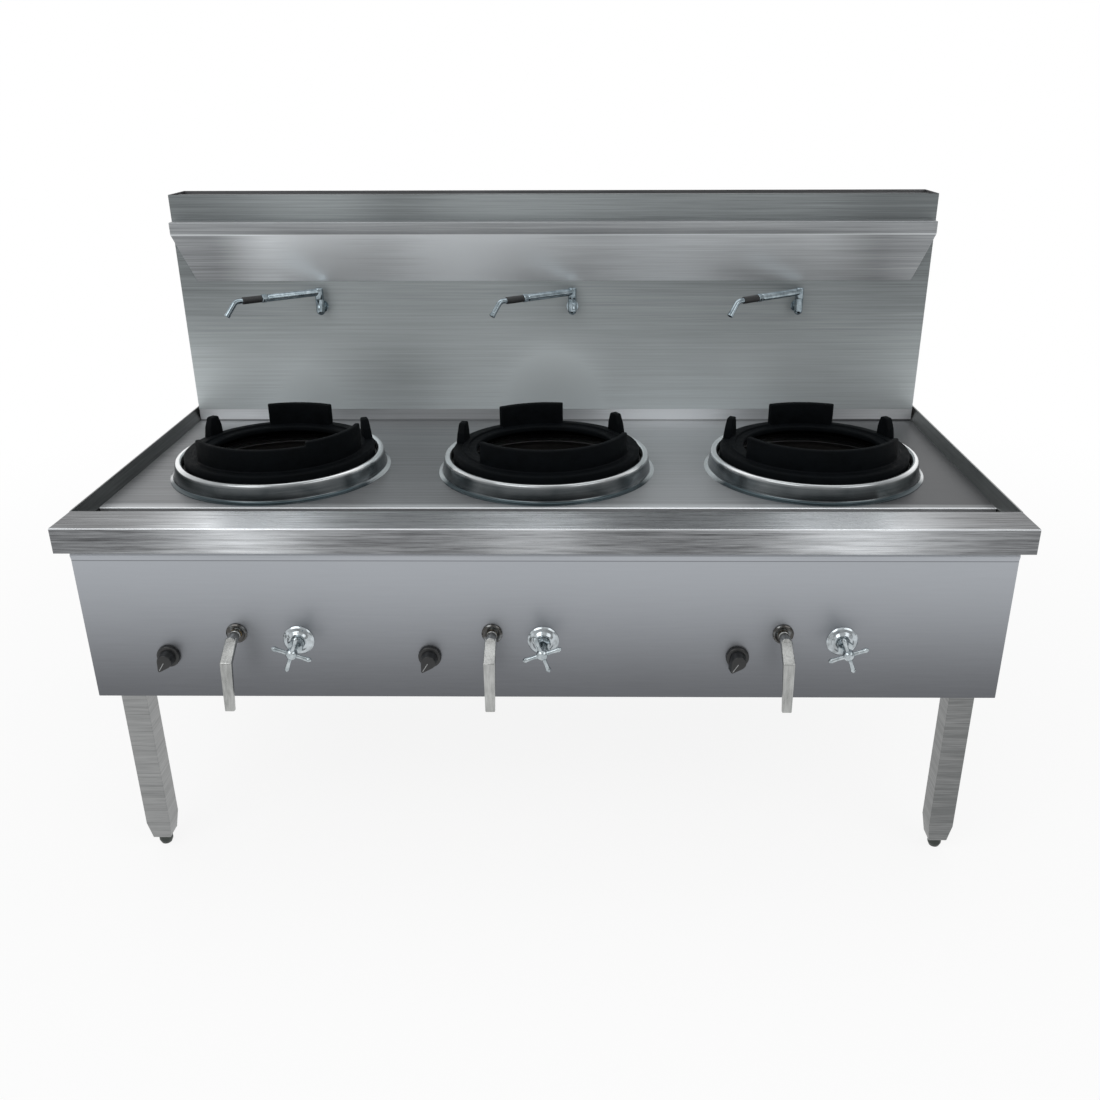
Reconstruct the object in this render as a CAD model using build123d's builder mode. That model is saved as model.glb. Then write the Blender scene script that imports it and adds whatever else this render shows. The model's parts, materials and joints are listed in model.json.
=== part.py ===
from build123d import *
import math
import os

os.makedirs("parts", exist_ok=True)

# Three-burner wok range. X runs to the right, Y to the back, Z up, in millimetres. The origin is on the floor,
# half way across the range and half way between the foremost control and the back of the flue.

# ---------------------------------------------------------------------------------------------------------
# Driving dimensions
# ---------------------------------------------------------------------------------------------------------
sheet = 1.5                 # gauge of the folded stainless sheet
deck_sheet = 2.0            # gauge of the hob deck
tube_wall = 2.0             # wall of the square frame tubes

# Table
table_width = 1800.0
table_depth = 900.0
table_height = 760.0        # floor to the top of the rim
rim_height = 50.0           # front face of the rim
front_rail_depth = 88.0     # flat top of the front rail
side_rail_top = 3.0         # flat top of a side rail
side_rail_slope = 8.0       # how far a side rail's inner face leans inwards
return_lip = 16.0           # folded lip under the rim
deck_drop = 30.0            # deck below the rim
gutter_width = 96.0
gutter_depth = 17.0         # gutter floor below the deck, level with the rim's lower lips
gutter_lip = 12.0           # front edge of the deck, folded down into the gutter
deck_bend = 1.9             # outside of the deck's front fold
rim_bend = 1.4              # outside of the front rail's folds
lip_end_gap = 1.0           # folded lips stop short of the side rails
overcut = 1.0               # how far a cut runs past the face it opens

# Splashback and flue
flue_depth = 107.0          # splash face to the back of the casing
splash_height = 510.0       # above the rim
upstand_setback = 1.0       # deck's rear upstand behind the splash face
flue_flange = 22.0
splash_flange = 12.0        # folded top of the splash, forwards
throat_half_width = 140.0   # flue throats in the flue's floor, one behind each burner
throat_riser_gap = 4.0
throat_back_gap = 12.0
riser_clearance = 1.0
stub_clearance = 0.2
shelf_top = 453.0           # top of the shelf above the rim
shelf_face = 28.0           # upright front of the shelf
shelf_reach = 42.0          # how far the shelf stands out from the splash
shelf_slope_drop = 111.0    # height of the sloping underside
shelf_end_inset = 7.0       # shelf ends in from the sides of the splash
shelf_end_taper = 34.0      # how far each end draws in on the way down
toe = 1.0                   # thickness left where the slope dies into the splash

# Casing
apron_recess = 10.0         # apron behind the rim's front
apron_height = 308.0
apron_side_inset = 25.0     # casing in from the rim's ends
apron_bead = 3.0            # drip bead under the rim
apron_bead_height = 16.0
casing_lip = 15.0
apron_return = 20.0

# Frame
leg_width = 50.0
leg_side_inset = 23.0       # legs in from the casing's sides
leg_inset = 50.0            # legs behind the rim's front, and in front of the casing's back
rail_width = 30.0
rail_height = 40.0
ferrule_height = 40.0
ferrule_end = 38.0          # square end of the tapered leg tip
tube_corner = 2.0
root_gap = 0.3              # open joint between tubes before welding
foot_height = 24.0
foot_taper = 8.4            # height of the conical tip
foot_radius = 14.0
foot_tip_radius = 10.5
foot_stem_radius = 8.0
foot_stem_length = 62.0
screw_clearance = 0.05
cross_rail_setback = 36.0   # cross rails in from the deck's front and rear edges

# Burner row
burner_inset_left = 314.0   # rim's left end to the first burner
burner_inset_right = 328.0
burner_setback = 428.0      # rim front to the ring centres
collar_radius = 234.0
collar_height = 38.5
collar_sheet = 2.0
collar_throat = 206.5
collar_edge = 1.2           # turned edge of the flared foot
collar_flare = 7.0
collar_flare_rise = 3.4
collar_lean = 14.0          # top of the wall in from the foot
collar_roll_out = 9.0       # where the rolled top starts, below its crown
collar_roll_in = 8.0
ledge_radius = 188.0
ledge_height = 20.0         # seat of the iron ring above the deck
deck_hole_radius = 200.0

ring_radius = 201.0
ring_bore = 150.0
ring_flange = 30.0          # from the seat to the top of the flange
ring_plate = 12.0           # thickness of the flange inside its skirt
ring_skirt = 9.0            # wall of the skirt that stands on the seat
ring_seat_gap = 0.3
ring_edge = 3.0
wall_radius = 180.0
wall_thickness = 11.0
wall_low = 4.0              # low wall all round, above the flange
wall_high = 47.0            # tall wall at the cook's side, above the flange
wall_span = ((216.0, 356.0), (222.0, 344.0), (208.0, 329.0))    # where the tall walls run
wall_step_start = 303.0     # the first ring's wall stands higher from here
wall_step = 9.0
rear_lug_span = 49.0        # degrees
rear_lug_height = 49.0
rear_lug_wall = 13.0
rear_lug_proud = 1.0        # of the wall's outside
side_lug_base = 40.0
side_lug_tip = 21.0
side_lug_height = 45.0
side_lug_thickness = 15.0
side_lug_waist = 2.0        # drawn in at half height
side_lug_corner = 6.0
side_lug_proud = 13.0
side_lug_sink = 1.0         # root in the flange
side_lug_angle = 67.0        # from the rear lug
ring_turn = (88.0, 104.0, 90.0)     # where each ring's rear lug points
side_lug_shift = (0.0, -2.0, 0.0)   # unevenness of the castings' side lugs

drum_radius = 178.0
drum_height = 168.0
drum_flange = 37.0
air_hole_radius = 100.0
lining_bore = 140.0
lining_height = 148.0
lining_bricks = 8           # round each drum
brick_joint = 0.5
lining_clearance = 0.2

bowl_radius = 78.0
bowl_height = 26.0
bowl_chamfer = 12.0
bowl_arm_reach = 125.0
bowl_arm_width = 14.0
bowl_arm_height = 12.0
stem_radius = 17.0
jet_radius = 5.0
jet_height = 14.0
jet_bore = 2.0
jet_circles = ((0.0, 1), (30.0, 6), (58.0, 12))

# Controls, from the left, each set off sideways from the axis of its burner
knob_offset = (-137.0, -213.0, -203.0)
lever_offset = (0.0, -92.0, -119.0)
tap_offset = (117.0, 5.0, -6.0)
knob_drop = 217.0           # below the rim's lower edge
lever_drop = 168.0
tap_drop = 183.0

spindle_clearance = 0.05
panel_clearance = 0.5       # hole in the apron round a valve
face_gap = 0.5              # turning part off the face behind it

knob_skirt_radius = 22.0
knob_skirt = 8.0
knob_grip_radius = 16.0
knob_grip = 21.0
knob_tip_reach = 25.0
knob_tip_radius = 3.5
knob_angle = 238.0          # where the pointer points, seen from the front
knob_spindle_radius = 4.0
knob_spindle = 18.0
knob_skirt_round = 2.0
knob_draft = 5.0            # degrees
pilot_body_radius = 11.0
pilot_neck_radius = 5.5
pilot_boss_radius = 9.0
pilot_body = 38.0

rosette_radius = 20.0
rosette = 5.0
rosette_chamfer = 2.0
escutcheon_clearance = 0.2
lever_hub_radius = 10.0
lever_hub = 34.0
lever_spindle_radius = 6.0
lever_spindle = 28.0
lever_width = 22.0
lever_thickness = 9.0
lever_root_rise = 3.0       # bar's root above the hub's axis
lever_slope_run = 37.0      # forward
lever_slope_drop = 24.0
lever_hang = 93.0
lever_flare = 13.0
lever_taper = 2.0           # narrowing of each edge towards the end
lever_body_radius = 16.0
lever_body = 58.0
valve_boss_radius = 13.0

tap_flange_radius = 30.0
tap_flange = 11.0
tap_flange_edge = 1.5
tap_dome_radius = 21.6      # a point on the dome
tap_dome_rise = 8.25
tap_bonnet_radius = 13.0
tap_bonnet = 30.0
tap_nut = 9.0
tap_nut_width = 30.0
tap_spindle_radius = 5.0
tap_spindle = 58.0
tap_hub_radius = 11.0
tap_hub = 17.0
tap_hub_standoff = 48.0
tap_hub_round = 4.0
tap_arm_reach = 38.5
tap_arm_root = 4.6
tap_arm_waist = 3.6         # a third of the way out
tap_arm_waist_at = 18.0
tap_arm_tip = 5.2
tap_tip_length = 10.0       # barrel-shaped end of an arm
tap_tip_round = 2.0
tap_angle = (-20.0, 20.0, 20.0)
tap_body_radius = 14.0
tap_body = 52.0
tap_boss_radius = 11.0

# Pipes
manifold_setback = 23.0     # manifolds behind the apron
gas_pipe_radius = 17.0
gas_drop_radius = 8.0
gas_pipe_rise = 60.0        # gas manifold above the levers
gas_feed_radius = 13.5
gas_feed_below = 40.0       # feed pipes below the drum floors
gas_inlet_radius = 13.45
inlet_lead = 30.0           # stub between a manifold and its inlet's first elbow
feed_lead = 50.0            # straight out of the valve
feed_entry = 60.0           # bend in front of the drum
feed_bend = 23.5
pilot_tube_radius = 3.0
pilot_lead = 40.0
pilot_bend = 15.0
pilot_below_feed = 27.0
pilot_clear = 11.0          # pilot tube outside the burner bowl
water_pipe_radius = 10.65
water_pipe_fall = 77.0      # water manifold below the taps
riser_radius = 7.5
riser_fall = 57.0           # run to the back, below the taps
riser_lead = 45.0
riser_entry = 120.0         # bend in front of the flue
riser_bend = 22.0
inlet_below = 42.0          # ends of the inlets below the casing
inlet_end = 40.0            # free end below the coupling
gas_inlet_inset = 17.0      # in from the left legs
water_inlet_inset = 72.0    # in from the right legs
gas_coupling_radius = 16.0
water_coupling_radius = 14.0
coupling_length = 30.0
inlet_inset = 70.0          # inlets in front of the casing's back
pipe_bend = 24.0
tee_size = 24.0

# Spouts
spout_offset = (32.0, 53.0, 10.0)   # sideways from the axis of each burner
spout_standoff = 25.0       # post axis in front of the splash
post_radius = 10.0
post_foot = 238.0           # bottom of a post above the rim
post_height = 38.0
spigot_radius = 6.0
spigot_height = 19.0
head_height = 26.0
head_round = 3.0
head_gap = 0.3
stub_radius = 7.0
stub_rise = 17.0
wall_flange_radius = 14.0
wall_flange = 4.0
arm_radius = 8.5
arm_length = 130.0
knuckle_radius = 9.6
knuckle_length = 12.0
core_radius = 5.0
grip_radius = 8.0
grip_length = 46.0
grip_chamfer = 1.0
nozzle_radius = 6.0
nozzle_run = 16.0
nozzle_reach = 40.0
nozzle_drop = 31.0
nozzle_bend = 14.0
nozzle_mouth = 4.0          # depth of the open mouth
nozzle_wall = 1.2
nozzle_lip = 0.8            # lip round the mouth, proud of the tube
nozzle_lip_length = 6.0
spout_angle = 218.0

# Gutter drain
drain_inset = 120.0         # in from the rim's right end
drain_radius = 25.0
drain_wall = 3.0
drain_flange = 32.0
drain_length = 60.0
drain_seat = 2.0
backnut_radius = 32.0
backnut = 8.0

# ---------------------------------------------------------------------------------------------------------
# Levels and planes worked out from the dimensions
# ---------------------------------------------------------------------------------------------------------
lever_reach = lever_hub + face_gap + rosette + lever_slope_run + lever_flare
control_reach = lever_reach + lever_thickness / 2 - apron_recess
front_y = -(table_depth - control_reach) / 2
rear_y = front_y + table_depth
half_width = table_width / 2
top_z = table_height
rim_low_z = top_z - rim_height
deck_z = top_z - deck_drop
deck_under_z = deck_z - deck_sheet
gutter_z = deck_z - gutter_depth
bed_z = gutter_z - sheet            # top of the frame
casing_low_z = rim_low_z - apron_height
rail_back_y = front_y + front_rail_depth
deck_front_y = rail_back_y + gutter_width
splash_y = rear_y - flue_depth
splash_back_y = splash_y + sheet
deck_back_y = splash_y + upstand_setback + deck_sheet
back_z = top_z + splash_height
side_inner_x = half_width - side_rail_top - side_rail_slope
apron_y = front_y + apron_recess
apron_back_y = apron_y + sheet
half_apron = half_width - apron_side_inset
leg_x = half_apron - leg_side_inset - leg_width / 2
leg_front_y = front_y + leg_inset + leg_width / 2
leg_rear_y = rear_y - leg_inset - leg_width / 2
ring_y = front_y + burner_setback
burner_pitch = (table_width - burner_inset_left - burner_inset_right) / 2
burner_x = [burner_inset_left - half_width + burner_pitch * i for i in range(3)]
knob_x, lever_x, tap_x, spout_x = (
    [x + offset for x, offset in zip(burner_x, offsets)]
    for offsets in (knob_offset, lever_offset, tap_offset, spout_offset)
)
ledge_z = deck_z + ledge_height
ring_low_z = ledge_z + ring_seat_gap
ring_top_z = ring_low_z + ring_flange
drum_floor_z = deck_under_z - drum_height
knob_z = rim_low_z - knob_drop
lever_z = rim_low_z - lever_drop
tap_z = rim_low_z - tap_drop
post_z = top_z + post_foot
stub_z = post_z + stub_rise
head_z = post_z + post_height + head_gap
arm_z = head_z + head_height - post_radius
post_y = splash_y - spout_standoff
gas_inlet_x = gas_inlet_inset + leg_width / 2 - leg_x
water_inlet_x = leg_x - leg_width / 2 - water_inlet_inset
drain_x = half_width - drain_inset


def slab(x, y, z, mode=Mode.ADD):
    """A block between two values on each axis, added to the piece being built."""
    centre = ((x[0] + x[1]) / 2, (y[0] + y[1]) / 2, (z[0] + z[1]) / 2)
    with Locations(centre):
        Box(abs(x[1] - x[0]), abs(y[1] - y[0]), abs(z[1] - z[0]), mode=mode)


def rod(start, direction, radius, length, mode=Mode.ADD):
    """A round bar or hole from a point, along a direction."""
    with BuildSketch(Plane(origin=start, z_dir=direction)) as section:
        Circle(radius)
    extrude(section.sketch, amount=length, mode=mode)


def pipe(points, radius, bend=pipe_bend):
    """A bent tube through the points, filled."""
    with BuildLine() as route:
        FilletPolyline(*points, radius=bend)
    with BuildSketch(Plane(origin=route.line @ 0, z_dir=route.line % 0)) as section:
        Circle(radius)
    sweep(section.sketch, path=route.line)


def save(piece, name):
    piece.part.label = name
    export_step(piece.part, f"parts/{name}.step")


forward = (0, -1, 0)
backward = (0, 1, 0)
up = (0, 0, 1)
down = (0, 0, -1)

# ---------------------------------------------------------------------------------------------------------
# Frame: four square legs with tapered tips, screw feet, and welded rails under the deck
# ---------------------------------------------------------------------------------------------------------
leg_low_z = foot_height + face_gap
ferrule_top_z = leg_low_z + ferrule_height
corners = {
    "front_left": (-leg_x, leg_front_y),
    "front_right": (leg_x, leg_front_y),
    "rear_left": (-leg_x, leg_rear_y),
    "rear_right": (leg_x, leg_rear_y),
}
for corner, (x, y) in corners.items():
    with BuildPart() as leg:
        with BuildSketch(Plane.XY.offset(ferrule_top_z)):
            with Locations((x, y)):
                Rectangle(leg_width, leg_width)
                Rectangle(leg_width - 2 * tube_wall, leg_width - 2 * tube_wall, mode=Mode.SUBTRACT)
        extrude(amount=bed_z - ferrule_top_z)
        with BuildSketch(Plane.XY.offset(leg_low_z)):
            with Locations((x, y)):
                RectangleRounded(ferrule_end, ferrule_end, tube_corner)
        with BuildSketch(Plane.XY.offset(ferrule_top_z)):
            with Locations((x, y)):
                RectangleRounded(leg_width, leg_width, tube_corner)
        loft()
        rod((x, y, leg_low_z - overcut), up, foot_stem_radius + screw_clearance, ferrule_height + 2 * overcut,
            Mode.SUBTRACT)
    save(leg, f"leg_{corner}")

    with BuildPart() as foot:
        with BuildSketch(Plane.XZ.offset(-y)):
            with BuildLine():
                Polyline(
                    (x, 0), (x + foot_tip_radius, 0), (x + foot_radius, foot_taper),
                    (x + foot_radius, foot_height), (x + foot_stem_radius, foot_height),
                    (x + foot_stem_radius, foot_height + foot_stem_length),
                    (x, foot_height + foot_stem_length), close=True,
                )
            make_face()
        revolve(axis=Axis((x, y, 0), up))
    save(foot, f"foot_{corner}")

inner_leg_x = leg_x - leg_width / 2
outer_leg_x = leg_x + leg_width / 2
rail_z = (bed_z - rail_height, bed_z)
inner_rail_z = (rail_z[0] + tube_wall, bed_z - tube_wall)
between_legs_y = (leg_front_y + leg_width / 2, leg_rear_y - leg_width / 2)
front_rail_y = (leg_front_y - leg_width / 2, leg_front_y - leg_width / 2 + rail_width)
rear_rail_y = (leg_rear_y + leg_width / 2 - rail_width, leg_rear_y + leg_width / 2)
cross_front_y = (deck_front_y + cross_rail_setback - rail_width, deck_front_y + cross_rail_setback)
cross_rear_y = (splash_y - cross_rail_setback, splash_y - cross_rail_setback + rail_width)
side_rail_x = outer_leg_x - rail_width


def hollow_rail_x(half_length, y):
    """A rectangular tube running across the range."""
    slab((-half_length, half_length), y, rail_z)
    slab((-half_length, half_length), (y[0] + tube_wall, y[1] - tube_wall), inner_rail_z, Mode.SUBTRACT)


with BuildPart() as frame_rails:
    for run in (front_rail_y, rear_rail_y):
        hollow_rail_x(inner_leg_x, run)
    for run in (cross_front_y, cross_rear_y):
        hollow_rail_x(side_rail_x - root_gap, run)
    for side in (-1, 1):
        outer = (side * outer_leg_x, side * side_rail_x)
        inner = (side * (outer_leg_x - tube_wall), side * (side_rail_x + tube_wall))
        slab(outer, between_legs_y, rail_z)
        slab(inner, between_legs_y, inner_rail_z, Mode.SUBTRACT)
save(frame_rails, "frame_rails")

stiffener_front_y = deck_front_y + deck_sheet + sheet
stiffener_x = (-leg_x, burner_x[1] - burner_pitch / 2, burner_x[1] + burner_pitch / 2, leg_x)
with BuildPart() as deck_stiffeners:
    for x in stiffener_x:
        half = rail_width / 2
        slab((x - half, x + half), (stiffener_front_y, deck_back_y), (bed_z, deck_under_z))
        slab((x - half + tube_wall, x + half - tube_wall), (stiffener_front_y, deck_back_y),
             (bed_z, deck_under_z - tube_wall), Mode.SUBTRACT)
save(deck_stiffeners, "deck_stiffeners")

# ---------------------------------------------------------------------------------------------------------
# Table top: deck, front gutter and the folded rim round them
# ---------------------------------------------------------------------------------------------------------
deck_half = side_inner_x + sheet
with BuildPart() as deck:
    slab((-deck_half, deck_half), (deck_front_y, deck_back_y), (deck_under_z, deck_z))
    slab((lip_end_gap - side_inner_x, side_inner_x - lip_end_gap), (deck_front_y, deck_front_y + deck_sheet),
         (deck_z - gutter_lip, deck_z))
    slab((-side_inner_x, side_inner_x), (deck_back_y - deck_sheet, deck_back_y), (deck_under_z, top_z))
    with BuildSketch(Plane.XY.offset(deck_under_z)):
        with Locations(*[(x, ring_y) for x in burner_x]):
            Circle(deck_hole_radius)
    extrude(amount=deck_sheet, mode=Mode.SUBTRACT)
    front_bend = deck.edges().filter_by(Axis.X).sort_by_distance((0, deck_front_y, deck_z))[0]
    fillet(front_bend, deck_bend)
save(deck, "deck")

with BuildPart() as front_gutter:
    gutter_back_y = deck_front_y + deck_sheet
    slab((-deck_half, deck_half), (rail_back_y - sheet, gutter_back_y + sheet), (bed_z, deck_under_z))
    slab((-deck_half, deck_half), (rail_back_y - sheet, rail_back_y), (deck_under_z, top_z - sheet))
    slab((-side_inner_x, side_inner_x), (rail_back_y, gutter_back_y), (gutter_z, deck_under_z), Mode.SUBTRACT)
    drain_y = (rail_back_y + deck_front_y) / 2
    rod((drain_x, drain_y, bed_z), up, drain_radius, sheet, Mode.SUBTRACT)
save(front_gutter, "front_gutter")

with BuildPart() as drain_outlet:
    rod((drain_x, drain_y, gutter_z + drain_seat), down, drain_flange, drain_seat)
    rod((drain_x, drain_y, gutter_z + drain_seat), down, drain_radius, drain_length)
    rod((drain_x, drain_y, bed_z), down, backnut_radius, backnut)
    rod((drain_x, drain_y, gutter_z + drain_seat), down, drain_radius - drain_wall, drain_length,
        Mode.SUBTRACT)
save(drain_outlet, "drain_outlet")

with BuildPart() as rim_front:
    slab((-half_width, half_width), (front_y, rail_back_y), (rim_low_z, top_z))
    inside_x = half_width - sheet
    slab((-inside_x, inside_x), (front_y + sheet, rail_back_y), (rim_low_z + sheet, top_z - sheet),
         Mode.SUBTRACT)
    slab((-inside_x, inside_x), (front_y + return_lip, rail_back_y), (rim_low_z, top_z - sheet), Mode.SUBTRACT)
    fillet(rim_front.edges().filter_by(Axis.X).group_by(Axis.Y)[0], rim_bend)
save(rim_front, "rim_front")

for side, name in ((-1, "left"), (1, "right")):
    with BuildPart() as rim_side:
        lean = side_rail_slope * (deck_drop - sheet) / deck_drop
        with BuildSketch(Plane.XZ.offset(-rail_back_y)):
            with BuildLine():
                Polyline(
                    (side * half_width, rim_low_z),
                    (side * half_width, top_z),
                    (side * (half_width - side_rail_top), top_z),
                    (side * side_inner_x, deck_z),
                    (side * (side_inner_x + sheet), deck_z),
                    (side * (side_inner_x + sheet + lean), top_z - sheet),
                    (side * (half_width - sheet), top_z - sheet),
                    (side * (half_width - sheet), rim_low_z + sheet),
                    (side * (half_apron - sheet), rim_low_z + sheet),
                    (side * (half_apron - sheet), rim_low_z),
                    close=True,
                )
            make_face()
        extrude(amount=-(rear_y - rail_back_y))
    save(rim_side, f"rim_{name}")

# ---------------------------------------------------------------------------------------------------------
# Casing: front apron with its drip bead, side panels and rear panel
# ---------------------------------------------------------------------------------------------------------
bead_z = rim_low_z - apron_bead_height / 2
bead_low_z = rim_low_z - apron_bead_height
valve_holes = (
    [(x, knob_z, pilot_neck_radius) for x in knob_x]
    + [(x, lever_z, lever_hub_radius) for x in lever_x]
    + [(x, tap_z, tap_bonnet_radius) for x in tap_x]
)
with BuildPart() as front_apron:
    with BuildSketch(Plane.YZ.offset(-half_apron)):
        with BuildLine():
            Polyline(
                (apron_y, casing_low_z), (apron_y, bead_low_z), (apron_y - apron_bead, bead_z),
                (apron_y, rim_low_z), (apron_back_y, rim_low_z), (apron_back_y - apron_bead, bead_z),
                (apron_back_y, bead_low_z), (apron_back_y, casing_low_z + sheet),
                (apron_back_y + casing_lip, casing_low_z + sheet), (apron_back_y + casing_lip, casing_low_z),
                close=True,
            )
        make_face()
    extrude(amount=2 * half_apron)
    for side in (-1, 1):
        with BuildSketch(Plane.YZ.offset(side * half_apron)):
            with BuildLine():
                Polyline(
                    (apron_y, casing_low_z), (apron_y, bead_low_z), (apron_y - apron_bead, bead_z),
                    (apron_y, rim_low_z), (apron_y + apron_return, rim_low_z),
                    (apron_y + apron_return, casing_low_z), close=True,
                )
            make_face()
        extrude(amount=-side * sheet)
    for x, z, radius in valve_holes:
        rod((x, apron_y - overcut, z), backward, radius + panel_clearance, sheet + 2 * overcut, Mode.SUBTRACT)
save(front_apron, "front_apron")

for side, name in ((-1, "left"), (1, "right")):
    with BuildPart() as side_panel:
        outer_x = side * half_apron
        slab((outer_x - side * sheet, outer_x), (apron_y + apron_return, rear_y), (casing_low_z, rim_low_z))
        slab((outer_x - side * casing_lip, outer_x), (apron_y + apron_return, rear_y),
             (casing_low_z, casing_low_z + sheet))
    save(side_panel, f"side_panel_{name}")

with BuildPart() as rear_panel:
    panel_half = half_apron - sheet
    slab((-panel_half, panel_half), (rear_y - sheet, rear_y), (casing_low_z + sheet, bed_z))
    slab((-panel_half, panel_half), (rear_y - casing_lip, rear_y),
         (casing_low_z + sheet, casing_low_z + 2 * sheet))
save(rear_panel, "rear_panel")

# ---------------------------------------------------------------------------------------------------------
# Splashback: flue duct behind, splash panel in front, sloping shelf across its head
# ---------------------------------------------------------------------------------------------------------
riser_y = splash_back_y + tee_size / 2 + sheet
with BuildPart() as flue_duct:
    slab((-side_inner_x, side_inner_x), (deck_back_y, rear_y), (bed_z, gutter_z))
    slab((-side_inner_x, side_inner_x), (deck_back_y, deck_back_y + sheet), (bed_z, deck_under_z))
    slab((-side_inner_x, side_inner_x), (rear_y - sheet, rear_y), (bed_z, back_z))
    for side in (-1, 1):
        wall = (side * (side_inner_x - sheet), side * side_inner_x)
        flange = (side * (side_inner_x - flue_flange), side * side_inner_x)
        slab(wall, (deck_back_y, rear_y), (bed_z, back_z))
        slab(flange, (splash_back_y, splash_back_y + sheet), (top_z, back_z))
        slab(wall, (splash_back_y, rear_y), (top_z, back_z))
    for x in stiffener_x[1:3]:
        slab((x - sheet / 2, x + sheet / 2), (splash_back_y, rear_y), (top_z, back_z - flue_flange))
        slab((x - sheet / 2, x + sheet / 2), (deck_back_y, rear_y), (bed_z, top_z))
    for x in spout_x:
        rod((x, riser_y, bed_z - overcut), up, riser_radius + riser_clearance, sheet + 2 * overcut,
            Mode.SUBTRACT)
    throat_y = (riser_y + riser_radius + throat_riser_gap, rear_y - throat_back_gap)
    for x in burner_x:
        slab((x - throat_half_width, x + throat_half_width), throat_y, (bed_z - overcut, gutter_z + overcut),
             Mode.SUBTRACT)
save(flue_duct, "flue_duct")

with BuildPart() as splash_panel:
    slab((-side_inner_x, side_inner_x), (splash_y, splash_back_y), (top_z, back_z))
    slab((-side_inner_x + flue_flange, side_inner_x - flue_flange), (splash_y, splash_y + splash_flange),
         (back_z - sheet, back_z))
    for x in spout_x:
        rod((x, splash_y - overcut, stub_z), backward, stub_radius + stub_clearance, sheet + 2 * overcut,
            Mode.SUBTRACT)
save(splash_panel, "splash_panel")

shelf_top_z = top_z + shelf_top
shelf_bend_z = shelf_top_z - shelf_face
shelf_low_z = shelf_bend_z - shelf_slope_drop


def shelf_body(inset):
    """Outer form of the shelf, or its hollow when inset by the sheet."""
    half = side_inner_x - shelf_end_inset - inset
    front = splash_y - shelf_reach + inset
    slab((-half, half), (front, splash_y), (shelf_bend_z, shelf_top_z - inset))
    with BuildSketch(Plane.XY.offset(shelf_bend_z)) as head:
        with Locations((0, (front + splash_y) / 2)):
            Rectangle(2 * half, splash_y - front)
    with BuildSketch(Plane.XY.offset(shelf_low_z + 2 * inset)) as foot_of_slope:
        with Locations((0, splash_y - toe / 2)):
            Rectangle(2 * (half - shelf_end_taper), toe)
    loft([head.sketch, foot_of_slope.sketch])


with BuildPart() as shelf_hollow:
    shelf_body(sheet)
with BuildPart() as splash_shelf:
    shelf_body(0)
    add(shelf_hollow.part, mode=Mode.SUBTRACT)
save(splash_shelf, "splash_shelf")

# ---------------------------------------------------------------------------------------------------------
# Burner stations: pressed collar, iron wok ring, fire-lined drum and multi-jet burner
# ---------------------------------------------------------------------------------------------------------
shoulder_z = deck_z + collar_height


def collar_section(x):
    """Half section of the collar: flared foot, leaning wall, rolled top, throat and seat ledge."""
    with BuildLine() as outline:
        wall_top = x + collar_radius - collar_lean
        roll_z = shoulder_z - collar_roll_out
        outer_wall = Polyline(
            (x + collar_radius, deck_z), (x + collar_radius, deck_z + collar_edge),
            (x + collar_radius - collar_flare, deck_z + collar_flare_rise), (wall_top, roll_z),
        )
        rolled_top = ThreePointArc(
            outer_wall @ 1, ((wall_top + x + collar_throat) / 2, shoulder_z),
            (x + collar_throat, shoulder_z - collar_roll_in),
        )
        Polyline(
            rolled_top @ 1, (x + collar_throat, ledge_z), (x + ledge_radius, ledge_z),
            (x + ledge_radius, ledge_z - collar_sheet),
            (x + collar_throat + collar_sheet, ledge_z - collar_sheet),
            (x + collar_throat + collar_sheet, roll_z), (wall_top - collar_sheet, roll_z),
            (x + collar_radius - collar_flare - collar_sheet, deck_z), (x + collar_radius, deck_z),
        )
    make_face(outline.line.edges())


def sector(radius, thickness, start, end):
    """Part of an annulus between two angles."""
    Circle(radius)
    Circle(radius - thickness, mode=Mode.SUBTRACT)
    count = max(2, math.ceil((end - start) / 40))
    angles = [math.radians(start + (end - start) * k / count) for k in range(count + 1)]
    rays = [(2 * radius * math.cos(a), 2 * radius * math.sin(a)) for a in angles]
    with BuildLine() as wedge:
        Polyline((0, 0), *rays, close=True)
    make_face(wedge.line.edges(), mode=Mode.INTERSECT)


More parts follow.
